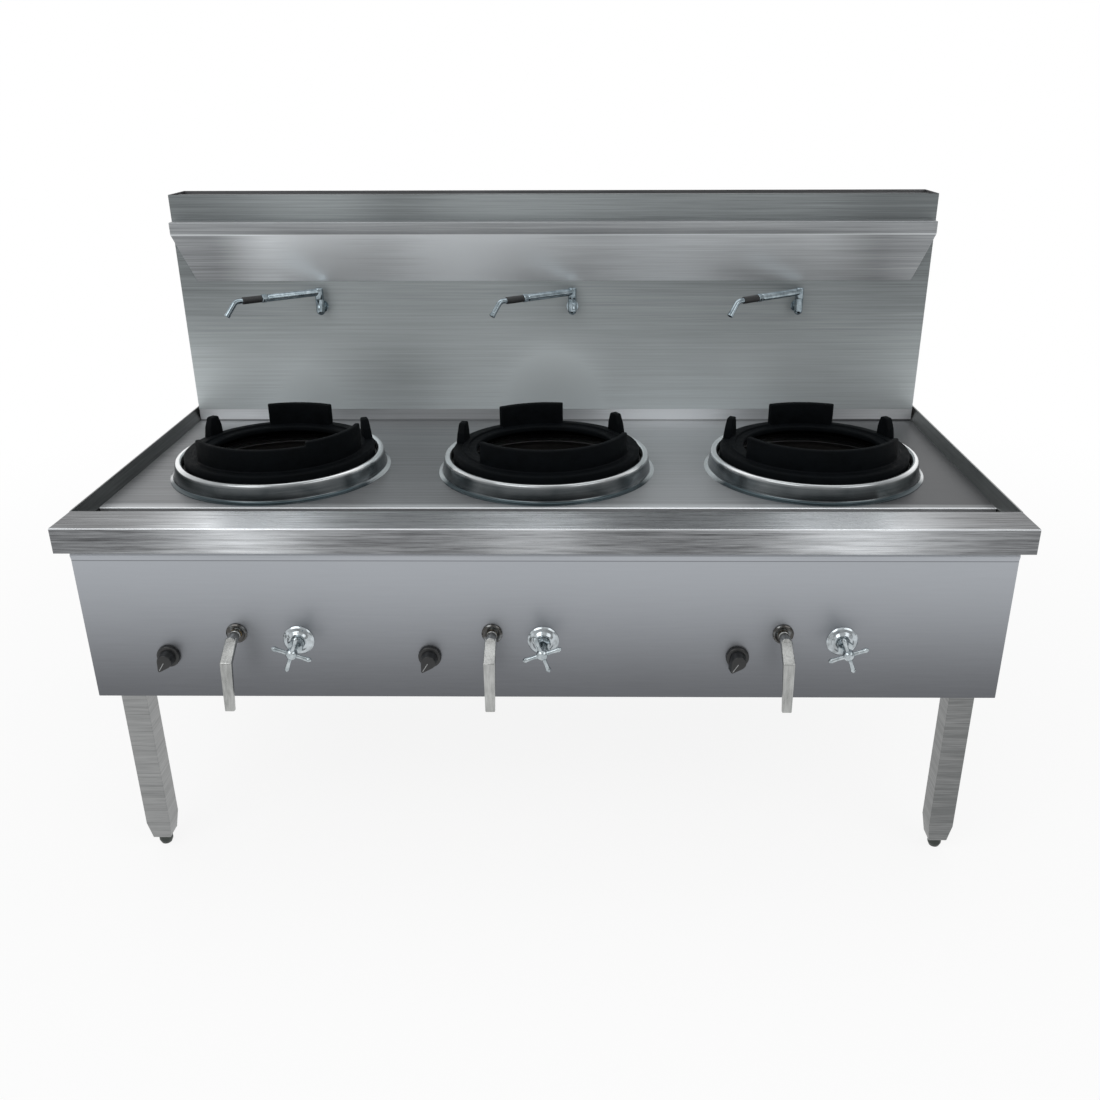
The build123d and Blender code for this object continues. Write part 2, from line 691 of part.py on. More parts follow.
for number, x in enumerate(burner_x, start=1):
    with BuildPart() as collar:
        with BuildSketch(Plane.XZ.offset(-ring_y)):
            collar_section(x)
        revolve(axis=Axis((x, ring_y, 0), up))
    save(collar, f"collar_{number}")

    rear_angle = ring_turn[number - 1]
    here = Plane.XY.move(Location((x, ring_y, 0)))
    with BuildPart() as wok_ring:
        with BuildSketch(here.offset(ring_low_z)):
            Circle(ring_radius)
            Circle(ring_radius - ring_skirt, mode=Mode.SUBTRACT)
        extrude(amount=ring_flange)
        with BuildSketch(here.offset(ring_top_z - ring_plate)):
            Circle(ring_radius - ring_skirt)
            Circle(ring_bore, mode=Mode.SUBTRACT)
        extrude(amount=ring_plate)
        rim_edges = wok_ring.edges().filter_by(GeomType.CIRCLE).group_by(SortBy.RADIUS)[-1]
        fillet(rim_edges.sort_by(Axis.Z)[-1], ring_edge)
        with BuildSketch(here.offset(ring_top_z)):
            Circle(wall_radius)
            Circle(wall_radius - wall_thickness, mode=Mode.SUBTRACT)
        extrude(amount=wall_low)
        with BuildSketch(here.offset(ring_top_z)):
            sector(wall_radius, wall_thickness, *wall_span[number - 1])
        extrude(amount=wall_high)
        if number == 1:
            with BuildSketch(here.offset(ring_top_z)):
                sector(wall_radius, wall_thickness, wall_step_start, wall_span[0][1])
            extrude(amount=wall_high + wall_step)
        half_span = rear_lug_span / 2
        with BuildSketch(here.offset(ring_top_z)):
            sector(wall_radius + rear_lug_proud, rear_lug_wall, rear_angle - half_span, rear_angle + half_span)
        extrude(amount=rear_lug_height)
        for turn in (-side_lug_angle, side_lug_angle):
            angle = math.radians(rear_angle + turn + side_lug_shift[number - 1])
            outward = (math.cos(angle), math.sin(angle), 0)
            along = (-math.sin(angle), math.cos(angle), 0)
            lug_radius = wall_radius + side_lug_proud
            root = (x + lug_radius * outward[0], ring_y + lug_radius * outward[1], ring_top_z - side_lug_sink)
            with BuildSketch(Plane(origin=root, x_dir=along, z_dir=outward)) as lug:
                with BuildLine():
                    Polyline(
                        (-side_lug_base / 2, 0), (side_lug_base / 2, 0),
                        (side_lug_base / 2 - side_lug_waist, side_lug_height / 2),
                        (side_lug_tip / 2, side_lug_height), (-side_lug_tip / 2, side_lug_height),
                        (side_lug_waist - side_lug_base / 2, side_lug_height / 2), close=True,
                    )
                make_face()
                fillet(lug.vertices().sort_by(Axis.Z)[-2:], side_lug_corner)
            extrude(amount=-side_lug_thickness)
    save(wok_ring, f"wok_ring_{number}")

    with BuildPart() as chamber:
        with BuildSketch(here.offset(drum_floor_z)):
            Circle(drum_radius)
            Circle(air_hole_radius, mode=Mode.SUBTRACT)
        extrude(amount=sheet)
        with BuildSketch(here.offset(drum_floor_z)):
            Circle(drum_radius)
            Circle(drum_radius - sheet, mode=Mode.SUBTRACT)
        extrude(amount=drum_height)
        with BuildSketch(here.offset(deck_under_z - sheet)):
            Circle(drum_radius + drum_flange)
            Circle(drum_radius - sheet, mode=Mode.SUBTRACT)
        extrude(amount=sheet)
    save(chamber, f"chamber_{number}")

    bowl_z = drum_floor_z + sheet + bowl_arm_height
    with BuildPart() as burner:
        with BuildSketch(here.offset(bowl_z)):
            Circle(bowl_radius)
        extrude(amount=bowl_height)
        chamfer(burner.edges().filter_by(GeomType.CIRCLE).sort_by(Axis.Z)[0], bowl_chamfer)
        for angle in (90, 210, 330):
            spoke = Plane(origin=(x, ring_y, bowl_z), x_dir=Vector(1, 0, 0).rotate(Axis.Z, angle), z_dir=down)
            with BuildSketch(spoke):
                with Locations((bowl_arm_reach / 2, 0)):
                    Rectangle(bowl_arm_reach, bowl_arm_width)
            extrude(amount=bowl_arm_height)
        rod((x, ring_y, bowl_z), down, stem_radius, bowl_z - (drum_floor_z - gas_feed_below + pipe_bend))
        for radius, count in jet_circles:
            with BuildSketch(here.offset(bowl_z + bowl_height)):
                with PolarLocations(radius, count):
                    Circle(jet_radius)
                    Circle(jet_bore, mode=Mode.SUBTRACT)
            extrude(amount=jet_height)
    save(burner, f"burner_{number}")

with BuildPart() as chamber_linings:
    with BuildSketch(Plane.XY.offset(drum_floor_z + sheet)):
        with Locations(*[(x, ring_y) for x in burner_x]):
            Circle(drum_radius - sheet - lining_clearance)
            Circle(lining_bore, mode=Mode.SUBTRACT)
            with PolarLocations(0, lining_bricks // 2, angular_range=180):
                Rectangle(2 * drum_radius, brick_joint, mode=Mode.SUBTRACT)
    extrude(amount=lining_height)
save(chamber_linings, "chamber_linings")

# ---------------------------------------------------------------------------------------------------------
# Controls on the apron: pilot knobs, knee levers and cross-head taps
# ---------------------------------------------------------------------------------------------------------
boss_height = 20.0          # pipe boss of a valve, from its axis
manifold_y = apron_back_y + manifold_setback
gas_z = lever_z + gas_pipe_rise
water_z = tap_z - water_pipe_fall

with BuildPart() as gas_valves:
    for x in knob_x:
        rod((x, apron_back_y, knob_z), backward, pilot_body_radius, pilot_body)
        rod((x, apron_back_y, knob_z), forward, pilot_neck_radius, sheet)
        rod((x, apron_y, knob_z), forward, knob_spindle_radius, knob_spindle)
        rod((x, manifold_y, knob_z), up, pilot_boss_radius, boss_height)
    for x in lever_x:
        rod((x, apron_back_y, lever_z), backward, lever_body_radius, lever_body)
        rod((x, apron_back_y, lever_z), forward, lever_hub_radius, sheet + rosette)
        rod((x, apron_y - rosette, lever_z), forward, lever_spindle_radius, lever_spindle)
        rod((x, manifold_y, lever_z), up, valve_boss_radius, boss_height)
save(gas_valves, "gas_valves")

with BuildPart() as escutcheons:
    for x in lever_x:
        rod((x, apron_y, lever_z), forward, rosette_radius, rosette)
    chamfer(escutcheons.edges().filter_by(GeomType.CIRCLE).group_by(Axis.Y)[0], rosette_chamfer)
    for x in lever_x:
        rod((x, apron_y, lever_z), forward, lever_hub_radius + escutcheon_clearance, rosette, Mode.SUBTRACT)
    for x in tap_x:
        with BuildSketch(Plane.YZ.offset(x)):
            with BuildLine():
                bore_z = tap_z + tap_bonnet_radius + escutcheon_clearance
                dome = ThreePointArc(
                    (apron_y - tap_flange_edge, tap_z + tap_flange_radius),
                    (apron_y - tap_dome_rise, tap_z + tap_dome_radius),
                    (apron_y - tap_flange, bore_z),
                )
                Polyline(dome @ 1, (apron_y, bore_z), (apron_y, tap_z + tap_flange_radius), dome @ 0)
            make_face()
        revolve(axis=Axis((x, apron_y, tap_z), forward))
save(escutcheons, "escutcheons")

with BuildPart() as tap_valves:
    for x in tap_x:
        rod((x, apron_back_y, tap_z), backward, tap_body_radius, tap_body)
        rod((x, apron_back_y, tap_z), forward, tap_bonnet_radius, sheet + tap_bonnet - tap_nut)
        with BuildSketch(Plane(origin=(x, apron_y - tap_bonnet + tap_nut, tap_z), z_dir=forward)):
            RegularPolygon(tap_nut_width / 2, 6)
        extrude(amount=tap_nut)
        rod((x, apron_y - tap_bonnet, tap_z), forward, tap_spindle_radius, tap_spindle - tap_bonnet)
        rod((x, manifold_y, tap_z), down, tap_boss_radius, boss_height)
save(tap_valves, "tap_valves")

knob_back_y = apron_y - face_gap
for number, x in enumerate(knob_x, start=1):
    with BuildPart() as knob:
        with BuildSketch(Plane(origin=(x, knob_back_y, knob_z), x_dir=(1, 0, 0), z_dir=forward)):
            Circle(knob_skirt_radius)
        extrude(amount=knob_skirt)
        fillet(knob.edges().filter_by(GeomType.CIRCLE).sort_by(Axis.Y)[0], knob_skirt_round)
        tip = math.radians(knob_angle)
        tip_at = (knob_tip_reach * math.cos(tip), knob_tip_reach * math.sin(tip))
        face_y = knob_back_y - knob_skirt
        with BuildSketch(Plane(origin=(x, face_y, knob_z), x_dir=(1, 0, 0), z_dir=forward)):
            Circle(knob_grip_radius)
            with Locations(tip_at):
                Circle(knob_tip_radius)
            make_hull()
        extrude(amount=knob_grip, taper=knob_draft)
        rod((x, knob_back_y, knob_z), forward, knob_spindle_radius + spindle_clearance, knob_spindle + overcut,
            Mode.SUBTRACT)
    save(knob, f"knob_{number}")


def strip_outline(points, thickness):
    """Outline of a bent flat bar of even thickness round a centre line, with mitred bends."""
    one_side, other_side = [], []
    for k, point in enumerate(points):
        here_at = Vector(*point)
        before = (here_at - Vector(*points[k - 1])).normalized() if k else None
        after = (Vector(*points[k + 1]) - here_at).normalized() if k < len(points) - 1 else None
        run = ((before or after) + (after or before)).normalized()
        normal = Vector(-run.Y, run.X)
        stretch = 1 / math.cos(math.radians(run.get_angle(after or before)))
        one_side.append(here_at + normal * (thickness / 2 * stretch))
        other_side.append(here_at - normal * (thickness / 2 * stretch))
    return one_side + other_side[::-1]


lever_back_y = apron_y - rosette - face_gap
lever_front_y = lever_back_y - lever_hub
for number, x in enumerate(lever_x, start=1):
    with BuildPart() as lever:
        rod((x, lever_back_y, lever_z), forward, lever_hub_radius, lever_hub)
        bend_y = lever_front_y - lever_slope_run
        route = [
            (lever_front_y + lever_thickness, lever_z + lever_root_rise),
            (bend_y, lever_z - lever_slope_drop),
            (bend_y - lever_flare, lever_z - lever_slope_drop - lever_hang),
        ]
        with BuildSketch(Plane.YZ.offset(x - lever_width / 2)):
            with BuildLine():
                Polyline(*strip_outline(route, lever_thickness), close=True)
            make_face()
        extrude(amount=lever_width)
        end_z = route[2][1]
        for side in (-1, 1):
            with BuildSketch(Plane.XZ.offset(-(bend_y + lever_thickness))):
                with BuildLine():
                    Polyline(
                        (x + side * lever_width / 2, route[1][1] - lever_thickness),
                        (x + side * (lever_width / 2 - lever_taper), end_z - lever_thickness),
                        (x + side * lever_width, end_z - lever_thickness),
                        close=True,
                    )
                make_face()
            extrude(amount=lever_flare + 3 * lever_thickness, mode=Mode.SUBTRACT)
        rod((x, lever_back_y, lever_z), forward, lever_spindle_radius + spindle_clearance,
            lever_spindle - face_gap + overcut, Mode.SUBTRACT)
    save(lever, f"lever_{number}")

hub_back_y = apron_y - tap_hub_standoff
for number, x in enumerate(tap_x, start=1):
    with BuildPart() as tap_handle:
        rod((x, hub_back_y, tap_z), forward, tap_hub_radius, tap_hub)
        fillet(tap_handle.edges().filter_by(GeomType.CIRCLE).sort_by(Axis.Y)[0], tap_hub_round)
        for quarter in range(4):
            angle = math.radians(tap_angle[number - 1] + 90 * quarter)
            outward = (math.cos(angle), 0, math.sin(angle))
            arm_foot = (x, hub_back_y - tap_hub / 2, tap_z)
            with BuildSketch(Plane(origin=arm_foot, x_dir=outward, z_dir=forward)):
                with BuildLine():
                    waist = ThreePointArc(
                        (tap_arm_root, tap_arm_root), (tap_arm_waist_at, tap_arm_waist),
                        (tap_arm_reach - tap_tip_length, tap_arm_tip),
                    )
                    Polyline(
                        waist @ 1, (tap_arm_reach - tap_tip_round, tap_arm_tip),
                        (tap_arm_reach, tap_arm_tip - tap_tip_round), (tap_arm_reach, 0), (tap_arm_root, 0),
                        waist @ 0,
                    )
                make_face()
            revolve(axis=Axis(arm_foot, outward))
        rod((x, hub_back_y, tap_z), forward, tap_spindle_radius + spindle_clearance,
            tap_spindle - tap_hub_standoff + overcut, Mode.SUBTRACT)
    save(tap_handle, f"tap_handle_{number}")

# ---------------------------------------------------------------------------------------------------------
# Pipework behind the apron: gas to the valves and burners, water to the taps and spouts
# ---------------------------------------------------------------------------------------------------------
inlet_y = rear_y - inlet_inset
inlet_low_z = casing_low_z - inlet_below
valve_back_y = apron_back_y + lever_body
feed_z = drum_floor_z - gas_feed_below
pilot_z = feed_z - pilot_below_feed
coupling_z = inlet_low_z + inlet_end


def manifold_and_inlet(first_x, last_x, inlet_x, z, radius, inlet_radius, coupling_radius):
    """A straight manifold behind the apron, and from its first end an inlet pipe back, down and out."""
    way = math.copysign(1, last_x - first_x)
    rod((first_x + way * root_gap, manifold_y, z), (way, 0, 0), radius, abs(last_x - first_x) + 2 * radius)
    pipe([(first_x, manifold_y, z), (inlet_x, manifold_y, z), (inlet_x, inlet_y, z),
          (inlet_x, inlet_y, inlet_low_z)],
         inlet_radius)
    rod((inlet_x, inlet_y, coupling_z), up, coupling_radius, coupling_length)


with BuildPart() as gas_pipework:
    manifold_and_inlet(gas_inlet_x + inlet_lead, lever_x[2], gas_inlet_x, gas_z, gas_pipe_radius,
                       gas_inlet_radius, gas_coupling_radius)
    for x, z in [(x, knob_z) for x in knob_x] + [(x, lever_z) for x in lever_x]:
        rod((x, manifold_y, z + boss_height), up, gas_drop_radius, gas_z - z - boss_height)
    for start_x, x in zip(lever_x, burner_x):
        pipe([(start_x, valve_back_y, lever_z), (start_x, valve_back_y + feed_lead, lever_z),
              (x, ring_y - drum_radius - feed_entry, feed_z), (x, ring_y, feed_z),
              (x, ring_y, feed_z + pipe_bend)],
             gas_feed_radius, feed_bend)
    for start_x, x in zip(knob_x, burner_x):
        pilot_x = x - bowl_radius - pilot_clear
        pilot_back_y = apron_back_y + pilot_body
        pipe([(start_x, pilot_back_y, knob_z), (start_x, pilot_back_y + pilot_lead, pilot_z),
              (pilot_x, ring_y - drum_radius, pilot_z), (pilot_x, ring_y, pilot_z),
              (pilot_x, ring_y, bowl_z + bowl_height)],
             pilot_tube_radius, pilot_bend)
save(gas_pipework, "gas_pipework")

with BuildPart() as water_pipework:
    manifold_and_inlet(water_inlet_x - inlet_lead, tap_x[0], water_inlet_x, water_z, water_pipe_radius,
                       water_pipe_radius, water_coupling_radius)
    for x in tap_x:
        rod((x, manifold_y, tap_z - boss_height), down, riser_radius, water_pipe_fall - boss_height)
    for start_x, x in zip(tap_x, spout_x):
        run_z = tap_z - riser_fall
        tap_back_y = apron_back_y + tap_body
        pipe([(start_x, tap_back_y, tap_z), (start_x, tap_back_y + riser_lead, tap_z),
              (start_x, tap_back_y + riser_lead, run_z), (x, riser_y - riser_entry, run_z),
              (x, riser_y, run_z), (x, riser_y, stub_z)],
             riser_radius, riser_bend)
        slab((x - tee_size / 2, x + tee_size / 2), (riser_y - tee_size / 2, riser_y + tee_size / 2),
             (stub_z - tee_size / 2, stub_z + tee_size / 2))
save(water_pipework, "water_pipework")

# ---------------------------------------------------------------------------------------------------------
# Swivel spouts on the splash: fixed post, turning arm, grip sleeve and bent nozzle
# ---------------------------------------------------------------------------------------------------------
with BuildPart() as spout_posts:
    for x in spout_x:
        rod((x, post_y, post_z + post_radius), up, post_radius, post_height - post_radius)
        with Locations((x, post_y, post_z + post_radius)):
            Sphere(post_radius)
        rod((x, post_y, post_z + post_height), up, spigot_radius, spigot_height)
        rod((x, post_y, stub_z), backward, stub_radius, riser_y - tee_size / 2 - post_y)
        rod((x, splash_y, stub_z), forward, wall_flange_radius, wall_flange)
save(spout_posts, "spout_posts")

aim = math.radians(spout_angle)
arm_way = (math.cos(aim), math.sin(aim), 0)
arm_side = (math.sin(aim), -math.cos(aim), 0)
for number, x in enumerate(spout_x, start=1):
    pivot = Vector(x, post_y, arm_z)
    grip_start = pivot + Vector(*arm_way) * (arm_length + knuckle_length)
    nozzle_start = grip_start + Vector(*arm_way) * grip_length
    with BuildPart() as spout_arm:
        rod((x, post_y, head_z), up, post_radius, head_height)
        fillet(spout_arm.edges().filter_by(GeomType.CIRCLE).sort_by(Axis.Z)[-1], head_round)
        rod(pivot, arm_way, arm_radius, arm_length)
        with BuildSketch(Plane(origin=pivot + Vector(*arm_way) * arm_length, z_dir=arm_way)):
            RegularPolygon(knuckle_radius, 8)
        extrude(amount=knuckle_length)
        rod(grip_start, arm_way, core_radius, grip_length)
        rod((x, post_y, head_z), up, spigot_radius + spindle_clearance, spigot_height + overcut, Mode.SUBTRACT)
    save(spout_arm, f"spout_arm_{number}")

    with BuildPart() as spout_grip:
        rod(grip_start, arm_way, grip_radius, grip_length)
        chamfer(spout_grip.edges().filter_by(GeomType.CIRCLE), grip_chamfer)
        rod(grip_start, arm_way, core_radius + spindle_clearance, grip_length, Mode.SUBTRACT)
    save(spout_grip, f"spout_grip_{number}")

    with BuildPart() as spout_nozzle:
        with BuildLine(Plane(origin=nozzle_start, x_dir=arm_way, z_dir=arm_side)) as bend:
            FilletPolyline((0, 0), (nozzle_run, 0), (nozzle_reach, -nozzle_drop), radius=nozzle_bend)
        with BuildSketch(Plane(origin=bend.line @ 0, z_dir=bend.line % 0)):
            Circle(nozzle_radius)
        sweep(path=bend.line)
        mouth = Plane(origin=bend.line @ 1, z_dir=-(bend.line % 1))
        with BuildSketch(mouth):
            Circle(nozzle_radius + nozzle_lip)
        extrude(amount=nozzle_lip_length)
        with BuildSketch(mouth):
            Circle(nozzle_radius - nozzle_wall)
        extrude(amount=nozzle_mouth, mode=Mode.SUBTRACT)
    save(spout_nozzle, f"spout_nozzle_{number}")
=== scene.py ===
import json
import math

import bmesh
import bpy
from mathutils import Matrix, Vector

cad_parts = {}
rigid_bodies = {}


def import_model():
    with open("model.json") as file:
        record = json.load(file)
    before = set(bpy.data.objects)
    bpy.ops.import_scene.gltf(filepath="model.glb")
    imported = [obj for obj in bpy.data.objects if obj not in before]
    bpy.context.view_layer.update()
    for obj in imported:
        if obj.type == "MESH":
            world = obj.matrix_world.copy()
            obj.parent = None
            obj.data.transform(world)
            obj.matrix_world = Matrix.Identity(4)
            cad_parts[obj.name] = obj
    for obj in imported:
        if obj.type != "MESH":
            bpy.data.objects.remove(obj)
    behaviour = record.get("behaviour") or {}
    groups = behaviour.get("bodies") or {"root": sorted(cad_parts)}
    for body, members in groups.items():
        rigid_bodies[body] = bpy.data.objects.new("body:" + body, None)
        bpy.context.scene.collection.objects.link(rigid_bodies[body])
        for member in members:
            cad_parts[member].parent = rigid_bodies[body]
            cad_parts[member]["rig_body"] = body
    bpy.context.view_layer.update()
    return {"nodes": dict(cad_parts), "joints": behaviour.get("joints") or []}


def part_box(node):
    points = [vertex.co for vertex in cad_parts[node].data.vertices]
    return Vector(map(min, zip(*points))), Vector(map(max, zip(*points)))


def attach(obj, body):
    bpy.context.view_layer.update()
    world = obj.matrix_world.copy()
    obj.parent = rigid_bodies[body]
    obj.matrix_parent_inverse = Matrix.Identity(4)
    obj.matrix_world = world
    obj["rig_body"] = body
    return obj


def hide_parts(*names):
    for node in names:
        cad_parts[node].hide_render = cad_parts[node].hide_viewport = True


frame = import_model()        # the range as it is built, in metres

nodes = frame["nodes"]
scene = bpy.context.scene

# Camera
# The range was seen from a little right of its middle, about two metres in front and well above the hob,
# with the lens tipped down and the picture cropped a little to one side.
camera_place = Vector((0.0793, -2.1928, 1.4896))
camera_pitch, camera_yaw, camera_roll = (math.radians(angle) for angle in (23.348, 0.647, -0.184))
frame_pixels = 1100
focal_pixels = 1065.2
centre_column = 575
sensor_width, far_clip = 36, 200
camera_data = bpy.data.cameras.new("camera")
camera_data.sensor_width = sensor_width
camera_data.lens = sensor_width * focal_pixels / frame_pixels
camera_data.shift_x = (frame_pixels / 2 - centre_column) / frame_pixels
camera_data.clip_end = far_clip
camera = bpy.data.objects.new("camera", camera_data)
camera.matrix_world = (
    Matrix.Translation(camera_place)
    @ Matrix.Rotation(camera_yaw, 4, "Z")
    @ Matrix.Rotation(math.pi / 2 - camera_pitch, 4, "X")
    @ Matrix.Rotation(camera_roll, 4, "Z")
)
scene.collection.objects.link(camera)
scene.camera = camera
scene.view_settings.view_transform = "Standard"


# Studio
# A pale seamless floor that runs out into white, three large soft lamps, and pale walls that the metal
# mirrors.
class Wire:
    """An output in a node tree. Arithmetic on wires and numbers adds Math nodes; add() makes any other
    node."""

    def __init__(self, tree, socket=None):
        self.tree = tree
        self.socket = socket

    def add(self, kind, settings, sockets, out=0):
        """Adds a node with its settings, then fills its sockets with values or wires. Gives one output."""
        node = self.tree.nodes.new("ShaderNode" + kind)
        for name, value in settings.items():
            setattr(node, name, value)
        for key, value in sockets.items():
            if isinstance(value, Wire):
                self.tree.links.new(value.socket, node.inputs[key])
            else:
                node.inputs[key].default_value = value
        return Wire(self.tree, node.outputs[out])

    def math(self, operation, *values):
        return self.add("Math", {"operation": operation}, dict(enumerate(values)))

    def __add__(self, other):
        return self.math("ADD", self, other)

    def __sub__(self, other):
        return self.math("SUBTRACT", self, other)

    def __rsub__(self, other):
        return self.math("SUBTRACT", other, self)

    def __mul__(self, other):
        return self.math("MULTIPLY", self, other)

    def __truediv__(self, other):
        return self.math("DIVIDE", self, other)

    __radd__ = __add__
    __rmul__ = __mul__

    def clamp(self, low=0.0, high=1.0):
        return self.add("Clamp", {}, {"Value": self, "Min": low, "Max": high})

    def ease(self, low, high):
        """0 below low, 1 above high, and smooth between."""
        return self.add("MapRange", {"interpolation_type": "SMOOTHSTEP"}, {"Value": self, 1: low, 2: high})

    def along(self, axis):
        """One component of a vector."""
        return self.add("SeparateXYZ", {}, {0: self}, out="XYZ".index(axis))

    def scaled(self, x, y, z):
        return self.add("Mapping", {}, {"Vector": self, "Scale": (x, y, z)})

    def noise(self, scale=1.0, detail=2.0, rough=0.5):
        sockets = {"Vector": self, "Scale": scale, "Detail": detail, "Roughness": rough}
        return self.add("TexNoise", {}, sockets)

    def mix(self, dark, light):
        """The colour between two colours at this factor."""
        return self.add("Mix", {"data_type": "RGBA"}, {0: self, 6: (*dark, 1), 7: (*light, 1)}, out=2)

    def into(self, socket):
        self.tree.links.new(self.socket, socket)


def light_paths(tree):
    """Wires for what the camera sees, and for what metal and glass mirror."""
    paths = tree.nodes.new("ShaderNodeLightPath")
    seen = Wire(tree, paths.outputs["Is Camera Ray"])
    seen = seen.math("MAXIMUM", seen, Wire(tree, paths.outputs["Is Transmission Ray"]))
    return seen, Wire(tree, paths.outputs["Is Glossy Ray"])


world = bpy.data.worlds.new("pale_room")
world.use_nodes = True
scene.world = world
room = world.node_tree
seen, mirrored = light_paths(room)
way = Wire(room, room.nodes.new("ShaderNodeTexCoord").outputs["Generated"])
middle_wall, darkest_wall, ambient = 0.72, 0.34, 0.62
walls = middle_wall + 0.28 * way.along("Y") + 0.22 * way.along("Z") - 0.16 * way.along("X")
walls = walls.clamp(darkest_wall, 1.0)
strength = seen + mirrored * walls + (1 - seen.math("MAXIMUM", seen, mirrored)) * ambient
strength.into(room.nodes["Background"].inputs["Strength"])
room.nodes["Background"].inputs["Color"].default_value = (1, 1, 1, 1)

floor_half = 40.0
floor_mesh = bmesh.new()
bmesh.ops.create_grid(floor_mesh, x_segments=1, y_segments=1, size=floor_half)
floor_data = bpy.data.meshes.new("floor")
floor_mesh.to_mesh(floor_data)
floor_mesh.free()
floor = bpy.data.objects.new("floor", floor_data)
scene.collection.objects.link(floor)

paper = bpy.data.materials.new("paper")
paper.use_nodes = True
paper_shader = paper.node_tree.nodes["Principled BSDF"]
paper_shader.inputs["Base Color"].default_value = (0.9, 0.9, 0.9, 1)
paper_shader.inputs["Roughness"].default_value = 0.9
paper_shader.inputs["Specular IOR Level"].default_value = 0.1
seen, mirrored = light_paths(paper.node_tree)
underfoot = Wire(paper.node_tree, paper.node_tree.nodes.new("ShaderNodeTexCoord").outputs["Object"])
distance = underfoot.add("VectorMath", {"operation": "LENGTH"}, {0: underfoot}, out="Value")
white_near, fade_start, fade_end = 0.88, 1.2, 3.6
whiteness = seen.math("MAXIMUM", seen, mirrored)
whiteness = whiteness * (white_near + (1 - white_near) * distance.ease(fade_start, fade_end))
white = seen.add("Emission", {}, {"Color": (1, 1, 1, 1), "Strength": 1.0})
grey = Wire(paper.node_tree, paper_shader.outputs[0])
blend = seen.add("MixShader", {}, {0: whiteness, 1: grey, 2: white})
blend.into(paper.node_tree.nodes["Material Output"].inputs["Surface"])
floor_data.materials.append(paper)

lamp_target = Vector((0, 0, 0.75))
lamps = {
    "key": ((-1.9, -2.6, 3.1), (2.6, 1.6), 30),
    "fill": ((2.4, -2.2, 2.5), (2.0, 1.6), 14),
    "overhead": ((0.0, 0.4, 3.3), (3.4, 1.6), 16),
}
for name, (place, size, power) in lamps.items():
    lamp_data = bpy.data.lights.new(name, "AREA")
    lamp_data.shape = "RECTANGLE"
    lamp_data.size, lamp_data.size_y = size
    lamp_data.energy = power
    lamp = bpy.data.objects.new(name, lamp_data)
    aim = lamp_target - Vector(place)
    lamp.matrix_world = Matrix.Translation(place) @ aim.to_track_quat("-Z", "Y").to_matrix().to_4x4()
    scene.collection.objects.link(lamp)


# Legs and feet
# Square stainless tube, brushed across, with a pressed tip that tapers to a turned steel screw foot.
def new_finish(name, metallic, roughness):
    """A material, its shader with plain values, and the wire of the piece's own coordinates."""
    material = bpy.data.materials.new(name)
    material.use_nodes = True
    tree = material.node_tree
    shader = tree.nodes["Principled BSDF"]
    shader.inputs["Metallic"].default_value = metallic
    shader.inputs["Roughness"].default_value = roughness
    return material, shader, Wire(tree, tree.nodes.new("ShaderNodeTexCoord").outputs["Object"])


def relief(shader, height, strength, depth):
    """Raises the surface by a height wire."""
    bump = height.add("Bump", {}, {"Strength": strength, "Distance": depth, "Height": height})
    bump.into(shader.inputs["Normal"])


def brushed_steel(name, dark, light, grain, roughness, brush=1.0, cloud=0.4, metallic=1.0, painted_light=None):
    """Stainless sheet. grain is how fine the brushing runs along each axis, brush and cloud how strongly
    the lines and the broad unevenness show; the last argument adds painted light and shade to its colour."""
    material, shader, place = new_finish(name, metallic, roughness)
    fine_from = 100
    fine = [axis for axis in range(3) if grain[axis] > fine_from]

    def grained(scale):
        """Places along the brushing. Two fine axes count as one, so that sheet ends are brushed too."""
        parts = [place.along(axis) * (fineness * scale) for axis, fineness in zip("XYZ", grain)]
        if len(fine) == 2:
            parts[fine[0]] = parts[fine[0]] + parts[fine[1]]
            parts[fine[1]] = 0.0
        return place.add("CombineXYZ", {}, dict(enumerate(parts)))

    lines = grained(1.0).noise(1.0, 3.0, 0.6)
    streaks = grained(0.3).noise(1.0, 2.0, 0.55)
    clouds = place.noise(2.3, 3.0, 0.55)
    tone = 0.5 + brush * (0.9 * (lines - 0.5) + 0.7 * (streaks - 0.5)) + cloud * (clouds - 0.5)
    # Painted light and shade, added to the colour's tone.
    if painted_light:
        tone = tone + painted_light(place, streaks)
    tone.clamp().mix(dark, light).into(shader.inputs["Base Color"])
    (roughness + 0.16 * (lines - 0.5) + 0.12 * (clouds - 0.5)).into(shader.inputs["Roughness"])
    relief(shader, lines + 0.5 * streaks, strength=0.12 * brush, depth=0.0003)
    return material


def put_in_place(shape, name, material, body, stands_for=(), crease=35, faces_out=False):
    """Closes a shape into a piece on a body: doubles merged, faces turned out if they aren't yet, and smooth
    but for edges sharper than the crease in degrees."""
    bmesh.ops.remove_doubles(shape, verts=shape.verts, dist=2e-6)
    if not faces_out:
        bmesh.ops.recalc_face_normals(shape, faces=shape.faces)
    mesh = bpy.data.meshes.new(name)
    shape.to_mesh(mesh)
    shape.free()
    mesh.polygons.foreach_set("use_smooth", [True] * len(mesh.polygons))
    mesh.set_sharp_from_angle(angle=math.radians(crease))
    mesh.materials.append(material)
    piece = bpy.data.objects.new(name, mesh)
    scene.collection.objects.link(piece)
    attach(piece, body)
    if stands_for:
        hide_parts(*stands_for)
    return piece


def bevelled(shape, edges, width, segments=3):
    """Rounds edges of a shape."""
    bmesh.ops.bevel(shape, geom=edges, offset=width, segments=segments, profile=0.5, affect="EDGES",
                    material=-1)


def slimness(face):
    """A face's width across its longest edge."""
    return face.calc_area() / max(edge.calc_length() for edge in face.edges)


